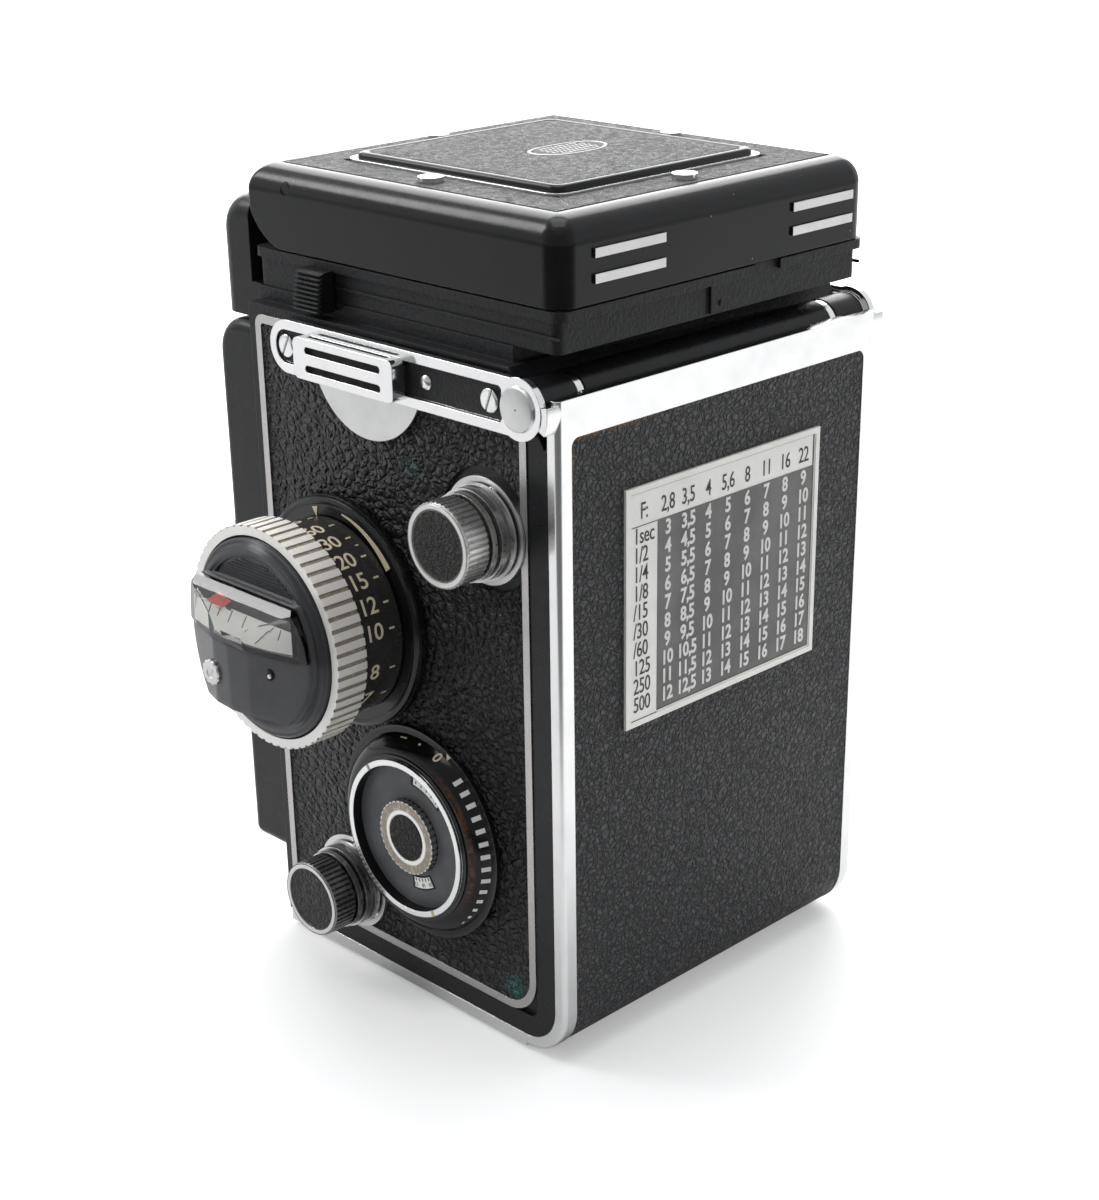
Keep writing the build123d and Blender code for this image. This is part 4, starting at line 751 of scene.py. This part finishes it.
def dial_face():
    at = left(DIAL_Y, DIAL_Z, 0)
    face = [(6.9, 41.84), (7.4, 41.9), (12.9, 41.9), (13.2, 41.86), (13.48, 41.86)]
    piece("dial_face", [lathe(face, at, 128)], DARK_FACE, "exposure_dial")
    # two windows with pale film-speed scales
    scales, frames, marks = [], [], []
    for middle, span, r0, r1 in ((66, 36, 10.4, 12.9), (-72, 30, 7.9, 9.9)):
        a0, a1 = middle - span / 2, middle + span / 2
        frames.append(arc_strip(r0 - 0.3, r1 + 0.3, a0 - 3, a1 + 3, 41.9, 41.93, at, 12))
        scales.append(arc_strip(r0, r1, a0, a1, 41.93, 41.96, at, 12))
        for i in range(5):
            turn = on_dial(a0 + span * (i + 0.5) / 5, (r0 + r1) / 2, 41.98)
            marks.append(slab(box(-0.1, 0.1, -0.9, -0.3), -0.02, 0.02, at @ turn))
            if i % 2 == 0:
                marks.append(text(str((12, 15, 18, 21, 24)[i]), 1.0, at @ turn @ moved(0, 0.35, 0), 0.03))
    piece("speed_windows", frames, MATT_BLACK, "exposure_dial")
    piece("speed_scales", scales, PALE_SCALE, "exposure_dial")
    piece("speed_marks", marks, BLACK_INK, "exposure_dial")
    # index marks on the bright ring
    ticks = []
    for angle in (128, -60):
        ticks.append(slab(box(-0.3, 0.3, -0.55, 0.6), 0.0, 0.06, at @ on_dial(angle, 14.0, 43.8)))
    piece("dial_index", ticks, GOLD_INK, "exposure_dial")
    # zero, pointer, dot and stroke of the correction scale on the skirt's shoulder
    lean = spun(-radians(63), "X")

    def on_skirt(angle):
        return at @ on_dial(angle, 18.12, 41.06) @ lean
    marks = [text("0", 2.7, on_skirt(68.6), 0.05, bold=0.04),
             slab([(-0.55, 0.55), (0.55, 0.55), (0, -0.75)], -0.02, 0.05, at @ on_dial(64, 19.0, 40.12)),
             slab(circle(0.26, steps=12), -0.02, 0.05, on_skirt(83)),
             slab(box(-0.8, 0.8, -0.14, 0.14), -0.02, 0.05, on_skirt(96))]
    piece("correction_marks", marks, CREAM_INK)


# --- spool knobs, screws and strap plates ---
def knob_discs():
    disc = [(0, 49.78), (3.0, 49.77), (5.2, 49.75), (5.7, 49.72), (5.85, 49.6)]
    rim = [(5.9, 49.55), (5.95, 49.78), (6.15, 49.86), (6.7, 49.84), (6.95, 49.65), (6.95, 49.4)]
    for body, y, z in (("upper_knob", UP_Y, UP_Z), ("lower_knob", LO_Y, LO_Z)):
        at = left(y, z, 0)
        piece(body + "_disc", [lathe(disc, at, 64)], DISC_LEATHER, body)
        piece(body + "_rim", [lathe(rim, at, 96)], SATIN_CHROME, body)
    cap = [(0, 43.34), (3.0, 43.33), (4.0, 43.28), (4.28, 43.16)]
    piece("speed_knob_disc", [lathe(cap, left(DIAL_Y, DIAL_Z, 0), 48)], DISC_LEATHER, "speed_setting")


def slotted_head(radius, height, slot, matrix, turn):
    """A domed screw head: two halves with the slot between them, on a disc that is the slot's floor."""
    parts = [lathe([(0, height * 0.45), (radius * 0.95, height * 0.45), (radius * 0.95, 0)], matrix, 32)]
    for side in (0, pi):
        spin = matrix @ spun(turn + side)
        a0 = slot / 2 / radius
        turns = [a0 + (pi - 2 * a0) * i / 16 for i in range(17)]
        edge = [(radius * cos(a), radius * sin(a)) for a in turns]
        rings = [(edge, 0.0), (edge, height * 0.75)]
        for share, rise in ((0.93, 0.92), (0.75, 1.0)):
            rings.append(([(x * share, slot / 2 + (y - slot / 2) * share) for x, y in edge], height * rise))
        parts.append(loft(rings, spin))
    return parts


def screws():
    heads = []
    for side, s in (("left", 1), ("right", -1)):
        for y, turn in zip(SCREW_YS, (radians(62), radians(68))):
            at = facing(side, (s * PLATE_FLOOR, y, PLATE_Z))
            heads += slotted_head(1.95, 0.7, 0.42, at, turn * s)
        at = facing(side, (s * PLATE_FLOOR, RIVET_Y, PLATE_Z))
        heads.append(lathe([(0, 0.62), (0.6, 0.58), (1.0, 0.42), (1.25, 0.1), (1.25, 0)], at, 32))
    for y, z in ((UP_Y + 2.1, UP_Z + 6.9), (LO_Y + 1.4, LO_Z + 7.3)):
        heads += slotted_head(0.9, 0.3, 0.28, left(y, z, 39.8), radians(70))
    for y, z in ((UP_Y + 2.6, UP_Z - 6.8), (LO_Y + 6.0, LO_Z - 4.6)):
        heads.append(lathe([(0, 0.42), (0.45, 0.36), (0.75, 0.15), (0.8, 0)], left(y, z, 39.8), 24))
    obj = piece("screw_heads", heads, CHROME, bevel=0.03)
    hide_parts("body_screws")


def strap_plate_details():
    fills, caps, marks = [], [], []
    for side, s in (("left", 1), ("right", -1)):
        at = facing(side, (s * PLATE_FLOOR, 0, PLATE_Z))
        fills.append(slab([(x - 7.8 * s, y) for x, y in rounded(40.0, 5.7, 2.55)], 0.0, 0.05, at))
        fills.append(slab([(x + 17.4 * s, y) for x, y in rounded(20.0, 5.7, 0.8)], 0.0, 0.045, at))
        hinge = facing(side, (s * 41.0, HINGE_Y, HINGE_Z))
        caps.append(lathe([(3.55, 0.25), (3.45, 0.42), (3.2, 0.5), (0, 0.5)], hinge, 64))
        marks.append(lathe([(0.16, 0.5), (0.14, 0.52), (0, 0.52)], hinge, 16))
        lug = facing(side, (s * 43.6, -7.5, 116.1))
        for up in (-1.55, 1.55):
            marks.append(slab([(x, y + up) for x, y in rounded(19.0, 1.25, 0.62)], -0.75, -0.7, lug))
    piece("channel_paint", fills, CRACKLE)
    piece("hinge_caps", caps, SATIN_CHROME)
    piece("slot_shadows", marks, MATT_BLACK)


# --- exposure table ---
COLUMNS = ("2,8", "3,5", "4", "5,6", "8", "11", "16", "22")
ROWS = ("1sec", "1/2", "1/4", "1/8", "/15", "/30", "/60", "125", "250", "500")
TABLE_X0, TABLE_X1, TABLE_Z0, TABLE_Z1 = -23.3, 23.3, 60.3, 99.8
HEAD_H, LEAD_W = 5.6, 6.6


def table_value(row, column):
    """Exposure value: 3 at one second and f/2.8, one more with each halved time and each closed stop."""
    value = 3 + row + (0.5 if column == 1 else max(0, column - 1))
    return str(value).replace(".", ",") if column == 1 else str(int(value))


def exposure_table():
    at = facing("back", (0, TABLE_Y, 0))
    field_left, field_top = TABLE_X0 + LEAD_W, TABLE_Z1 - HEAD_H
    field_right, field_foot = TABLE_X1 - 0.6, TABLE_Z0 + 0.6
    field = box(field_left, field_right, field_foot, field_top)
    piece("table_field", [slab(field, 0.0, 0.06, at)], ENAMEL, "door")
    step_x = (field_right - field_left) / len(COLUMNS)
    step_z = (field_top - field_foot - 0.6) / len(ROWS)
    pale, dark = [], []

    def legend(words, x, z, align="CENTER"):
        dark.append(text(words, 3.9, at @ moved(x, z, 0.04), 0.04, align, 0.74, 0.01))
    for c, words in enumerate(COLUMNS):
        x = field_left + step_x * (c + 0.5)
        legend(words, x, field_top + 2.3)
        for r in range(len(ROWS)):
            z = field_top - step_z * (r + 0.55)
            pale.append(text(table_value(r, c), 3.5, at @ moved(x, z, 0.09), 0.05, condense=0.86,
                             bold=0.1))
    for r, words in enumerate(ROWS):
        legend(words, TABLE_X0 + 0.9, field_top - step_z * (r + 0.55), "LEFT")
    legend("F:", TABLE_X0 + 3.4, field_top + 2.3)
    rule, edge = 0.12, TABLE_X0 + 0.5
    for x0, x1, z0, z1 in ((edge, field_right, TABLE_Z1 - rule, TABLE_Z1),
                           (edge, field_left, field_top - rule, field_top),
                           (edge, field_left, field_foot - 0.6, field_foot - 0.6 + rule),
                           (field_right, field_right + 0.3, field_foot, TABLE_Z1),
                           (field_left, field_right + 0.3, field_foot - 0.25, field_foot)):
        dark.append(slab(box(x0, x1, z0, z1), 0.0, 0.05, at))
    piece("table_numerals", pale, WHITE_INK, "door")
    piece("table_legend", dark, GREY_INK, "door")


# --- folding hood ---
def lid_bars():
    bars = []
    for z in (134.4, 138.3):
        for x0, x1 in ((13.9, 29.6), (-32.5, -16.9)):
            bars.append(slab(box(-x0, -x1, z, z + 1.45), 0.38, 0.46, facing("back", (0, 36.05, 0))))
    piece("lid_bar_faces", bars, FLAT_SATIN, "lid")


def finder_panel():
    """Flat panel in the lid: its width, depth, corner radius and height at each level."""
    at = facing("top", (0, -1.7, 0))
    shell = ((47.0, 48.8, 1.9, 144.55), (47.0, 48.8, 1.9, 145.75), (46.7, 48.5, 1.9, 146.12),
             (46.1, 47.9, 1.8, 146.36), (45.2, 47.0, 1.7, 146.4), (44.3, 46.1, 1.6, 146.32),
             (44.0, 45.8, 1.6, 146.1))
    skin = ((43.9, 45.7, 1.5, 146.05), (43.8, 45.6, 1.5, 146.22), (43.2, 45.0, 1.4, 146.32),
            (36.0, 38.0, 1.4, 146.34))
    shell, skin = ([(rounded(w, d, r), z) for w, d, r, z in levels] for levels in (shell, skin))
    obj = piece("panel_shell", [loft(shell, at)], SATIN_PAINT, "lid", smooth=60)
    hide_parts("finder_panel")
    # the panel's leather is the copy with painted sheen
    piece("panel_leather", [loft(skin, at)], SHEEN_LIT_TOP_LEATHER, "lid", smooth=60)


def badge():
    """Plain badge: a rounded shield with a raised border and ruled lines."""
    at = facing("top", (-2.4, -0.6, 146.33)) @ spun(pi)

    def shield(scale):
        out = []
        for i in range(40):
            a = 2 * pi * i / 40
            x, y = cos(a), sin(a)
            wide = 8.6 - 1.6 * max(0.0, -y)
            out.append((scale * wide * copysign(abs(x) ** 0.75, x),
                        scale * 4.6 * copysign(abs(y) ** 0.8, y)))
        return out
    piece("badge_plate", [loft([(shield(1.0), -0.25), (shield(0.98), -0.02)], at)], SATIN_PAINT, "lid")
    border = []
    outer, inner = shield(0.95), shield(0.88)
    for i in range(len(outer)):
        corners = (outer[i - 1], outer[i], inner[i], inner[i - 1])
        points = [(*c, h) for h in (-0.05, 0.05) for c in corners]
        border.append((points, [[4, 5, 6, 7], [0, 1, 5, 4], [2, 3, 7, 6]], at))
    for k in range(-2, 3):
        y = 1.35 * k
        half = 8.6 * 0.8 * (1 - (y / 4.6) ** 2) ** 0.5 - 0.9
        for j in range(int(half / 0.9)):
            for s in (-1, 1):
                x = s * (0.45 + 0.9 * j)
                stud = [(x - 0.3, y), (x, y + 0.5), (x + 0.3, y), (x, y - 0.5)]
                border.append(slab(stud, -0.05, 0.05, at))
    piece("badge_lines", border, BADGE_METAL, "lid")


def hood_release():
    """Ribbed thumb slide: ribs down its outer face, rounded at the head."""
    top, foot, count = 129.7, 122.95, 9
    step = (top - foot) / count
    face = [(37.0, foot)]
    for i in range(count):
        z = foot + step * i
        out = 40.2 - 1.1 * (i / count) ** 1.5
        face += [(out + rib, z + step * share)
                 for rib, share in ((0, 0.08), (0.45, 0.32), (0.45, 0.62), (-0.05, 0.92))]
    face += [(38.3, top), (37.0, top)]
    points = []
    for y in (-23.25, -23.0, -16.8, -16.55):
        inset = 0.2 if y in (-23.25, -16.55) else 0.0
        points += [(x - (inset if x > 37.1 else 0), y, z) for x, z in face]
    obj = piece("release_slide", [(points, closed_stack(len(face), 4), Matrix())], BODY_PAINT,
                "hood_catch", smooth=25)
    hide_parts("hood_release")


def hood_base_details():
    """Ledges and the rear stop on the crackle-painted base."""
    strips = [slab(rounded(58.0, 0.5, 0.2), 0.0, 0.35, facing(side, (x, 6.4, 126.9)))
              for side, x in (("left", 36.2), ("right", -36.2))]
    piece("base_ledges", strips, CRACKLE)
    stop = facing("back", (0, 34.9, 127.3))
    pip = lathe([(0, 0.75), (0.3, 0.7), (0.5, 0.5), (0.5, 0.4)], stop @ moved(0.4, -1.2, 0), 24)
    piece("rear_stop", [slab(rounded(3.8, 5.4, 0.3), -0.1, 0.45, stop), pip], CRACKLE,
          bevel=0.1)
    # painted shade: a black strip for the gap beside the rear stop
    piece("stop_gap_shade", [slab(rounded(0.55, 5.4, 0.1), -0.1, 0.06, stop @ moved(-2.3, 0, 0))], MATT_BLACK)


# --- front ---
def board_leather():
    """Leather of the lens board, notched round the viewing lens's flange."""
    at = facing("front", (0, BOARD_Y, 0))
    foot, head, flange = 17.0, 110.4, 17.3
    edge = [(x, (foot + head) / 2 + z) for x, z in rounded(70.0, head - foot, 3.0, 8)]
    corner = len(edge) // 4
    start = asin((head - VIEW_Z) / flange)
    turn = 2 * start + pi
    angles = [start - turn * i / 60 for i in range(61)]
    notch = [(flange * cos(a), VIEW_Z + flange * sin(a)) for a in angles]
    holes = [circle(19.3, 0, TAKE_Z, 72), circle(9.8, WHEEL_X, WHEEL_Z), circle(9.8, -WHEEL_X, WHEEL_Z),
             circle(6.2, -27, 27), circle(4.3, 28, 27)]
    lever = [(24.5 + 3.2 * cos(radians(a)), 47 + 3.2 * sin(radians(a))) for a in range(-30, 211, 20)]
    lever += [(22.3, 36.0), (26.7, 36.0)]
    piece("board_leather", [plate([edge[:corner] + notch + edge[corner:], *holes, lever], 0.0, 0.18, at)],
          SHADED_SIDE_LEATHER, "lens_unit")


def lens_faces():
    for name, z, bore, ring in (("viewing", VIEW_Z, 10.6, 14.0), ("taking", TAKE_Z, 11.2, 15.4)):
        at = front(0, z, 0)
        steps = [(ring - 0.05, 52.22), (ring - 0.1, 52.45), (ring - 0.9, 52.5), (ring - 1.0, 52.3),
                 (bore + 1.6, 52.3), (bore + 1.2, 52.45), (bore + 0.35, 52.5), (bore + 0.05, 52.2),
                 (bore + 0.02, 51.2)]
        piece(name + "_front_ring", [lathe(steps, at, 128)], ANODISED, "lens_unit")
        throat = [(bore - 0.1, 42.9), (bore - 1.6, 42.7), (bore - 1.8, 42.0), (bore - 3.6, 41.8),
                  (bore - 3.8, 41.2)]
        piece(name + "_throat", [lathe(throat, at, 96)], MATT_BLACK, "lens_unit")
    blade = [(3.2, -4.6), (8.0, -6.5), (8.8, 0), (8.0, 6.5), (3.2, 2.0)]
    blades = [slab(blade, 41.06 + 0.02 * i, 41.1 + 0.02 * i, front(0, TAKE_Z, 0) @ spun(2 * pi * i / 7))
              for i in range(7)]
    piece("shutter_blades", blades, STEEL, "lens_unit")


def wheel_faces():
    for name, x, body in (("aperture_face", WHEEL_X, "aperture_control"),
                          ("speed_face", -WHEEL_X, "speed_control")):
        at = front(x, WHEEL_Z, 0)
        piece(name, [lathe([(6.5, 53.85), (6.2, 54.0), (1.4, 54.0), (1.1, 53.8), (0, 53.8)], at, 64)],
              ANODISED, body)
        ticks = [slab(box(-0.12, 0.12, 4.9, 5.9), 54.0, 54.04, at @ spun(2 * pi * i / 12))
                 for i in range(12)]
        piece(name + "_ticks", ticks, WHITE_INK, body)


def cell_lenses():
    """Rows of small domes that make the light cell's window look beaded."""
    domes = []
    for j in range(6):
        for i in range(36):
            x = -29.2 + 1.65 * i + (0.8 if j % 2 else 0)
            if x > 29.4:
                continue
            domes.append(lathe([(0.82, 48.6), (0.7, 48.9), (0.4, 49.1), (0, 49.18)],
                               front(x, 122.3 + 1.6 * j, 0), 10))
    piece("cell_beads", domes, CELL, smooth=60)
    bars = [slab(box(x - 0.2, x + 0.2, 121.4, 131.2), 48.4, 48.75, front(0, 0, 0)) for x in (-30.0, 30.0)]
    piece("cell_rails", bars, CHROME)


# --- underside, crank side ---
def base_panel():
    at = facing("under", (0, 0, 0))
    edge = [(x, y + 3.5) for x, y in rounded(72.0, 45.0, 3.0)]
    piece("base_panel", [plate([edge, circle(14.6, 0, 0, 64)], -0.8, -0.45, at)], CRACKLE, "door")
    rim = lathe([(13.6, -0.75), (13.7, -0.35), (14.2, -0.3), (14.5, -0.45)], at, 64)
    piece("latch_surround", [rim], CHROME, "door")


def crank_details():
    at = facing("right", (-44.2, CRANK_Y, CRANK_Z))
    boss = [(7.6, 0.0), (7.4, 0.35), (6.6, 0.5), (3.0, 0.5), (2.7, 0.3), (0, 0.3)]
    piece("crank_boss", [lathe(boss, at, 64)], CHROME, "crank")
    grip = facing("right", (-50.8, CRANK_Y, GRIP_Z))
    cap = [(4.15, 0.0), (3.9, 0.0), (2.0, 0.0), (1.8, -0.2), (0, -0.2)]
    piece("crank_grip_cap", [lathe(cap, grip, 48)], CHROME, "crank_grip")


def grip_ribs():
    at = facing("right", (0, CRANK_Y, GRIP_Z))
    profile = []
    for i in range(8):
        x = 44.6 + 0.5 * i
        profile += [(3.4, x), (3.6, x + 0.12), (3.6, x + 0.32), (3.4, x + 0.44)]
    piece("crank_grip_ribs", [lathe(profile, at, 64)], BLACK_PLASTIC, "crank_grip")


# --- studio ---
def studio():
    """White backdrop, a world light that fades towards the object's near corner, and three soft lamps."""
    world = bpy.data.worlds.new("studio")
    bpy.context.scene.world = world
    world.use_nodes = True
    world.node_tree.nodes.clear()
    towards = add(world, "VectorMath", {0: add(world, "TexCoord").outputs["Generated"],
                                        1: (0.64, 0.65, 0.4)}, operation="DOT_PRODUCT").outputs["Value"]
    light = add(world, "Background", {"Color": (0.97, 0.985, 1.0, 1),
                                      "Strength": ramp(world, towards, -0.3, 0.95, 0.95, 0.42)})
    seen = add(world, "Background", {"Color": (1, 1, 1, 1)})
    mix = add(world, "MixShader", {0: add(world, "LightPath").outputs["Is Camera Ray"],
                                   1: light.outputs[0], 2: seen.outputs[0]})
    add(world, "OutputWorld", {"Surface": mix.outputs[0]})
    for name, place, size, power in (("back_softbox", (-0.75, -0.8, 0.75), (1.3, 1.0), 16.0),
                                     ("top_softbox", (-0.1, -0.1, 1.5), (1.2, 1.2), 11.0),
                                     ("edge_strip", (0.5, -0.82, 0.84), (0.35, 0.5), 4.5)):
        data = bpy.data.lights.new(name, "AREA")
        data.shape = "RECTANGLE"
        data.size, data.size_y = size
        data.energy = power
        lamp = bpy.data.objects.new(name, data)
        bpy.context.scene.collection.objects.link(lamp)
        lamp.location = place
        lamp.rotation_euler = (Vector((0, 0, 0.07)) - Vector(place)).to_track_quat("-Z", "Y").to_euler()


def floor_sheet():
    """Pale sheet with painted light: a glow seen only by camera rays brightens it to white away from the
    camera body, its colour is darker towards one side, and it ends in a painted shadow before the lens.
    """
    mat, shader = material("white_ground", (0.9, 0.9, 0.9), 0.6, Specular_IOR_Level=0.2)
    point = place_of(mat)
    x, y, _ = split(mat, point)
    toward = times(mat, calc(mat, "ADD", x, y), 0.707)
    across = times(mat, calc(mat, "SUBTRACT", x, y), 0.707)
    # colour darker towards one side of the sheet
    pale = blend_color(mat, ramp(mat, across, -150, 150), (0.86, 0.86, 0.86), (0.58, 0.58, 0.585))
    # painted shadow: the colour turns dark towards the camera
    link(mat, blend_color(mat, ramp(mat, toward, 125, 230), pale, (0.1, 0.1, 0.1)), shader, "Base Color")
    # painted glow: camera rays see the sheet give off light, more so away from the object
    away = ramp(mat, distance_to(mat, point, (0, 0, 0)), 60, 420, 0.33, 0.9)
    seen = add(mat, "LightPath").outputs["Is Camera Ray"]
    shader.inputs["Emission Color"].default_value = (1, 1, 1, 1)
    link(mat, times(mat, away, seen), shader, "Emission Strength")
    mesh = bpy.data.meshes.new("ground")
    mesh.from_pydata([(-30, -30, 0), (30, -30, 0), (30, 30, 0), (-30, 30, 0)], [], [(0, 1, 2, 3)])
    mesh.materials.append(mat)
    ground = bpy.data.objects.new("ground", mesh)
    bpy.context.scene.collection.objects.link(ground)


def camera():
    data = bpy.data.cameras.new("camera")
    data.sensor_width = 36.0
    data.lens = 65.127
    data.shift_x = 0.0024
    data.shift_y = 0.0865
    data.clip_start = 0.01
    cam = bpy.data.objects.new("camera", data)
    bpy.context.scene.collection.objects.link(cam)
    azimuth, elevation, roll = radians(135.557), radians(23.821), radians(-0.882)
    cam.matrix_world = (moved(0.26191, 0.261486, 0.20845) @ spun(azimuth)
                        @ spun(pi / 2 - elevation, "X") @ spun(roll))
    bpy.context.scene.camera = cam
    bpy.context.scene.view_settings.view_transform = "Standard"


dress_cad()
focus_scale()
focus_ring_details()
meter_block()
dial_skirt()
dial_face()
knob_discs()
screws()
strap_plate_details()
exposure_table()
lid_bars()
finder_panel()
badge()
hood_release()
hood_base_details()
board_leather()
lens_faces()
wheel_faces()
cell_lenses()
base_panel()
crank_details()
grip_ribs()
floor_sheet()
studio()
camera()
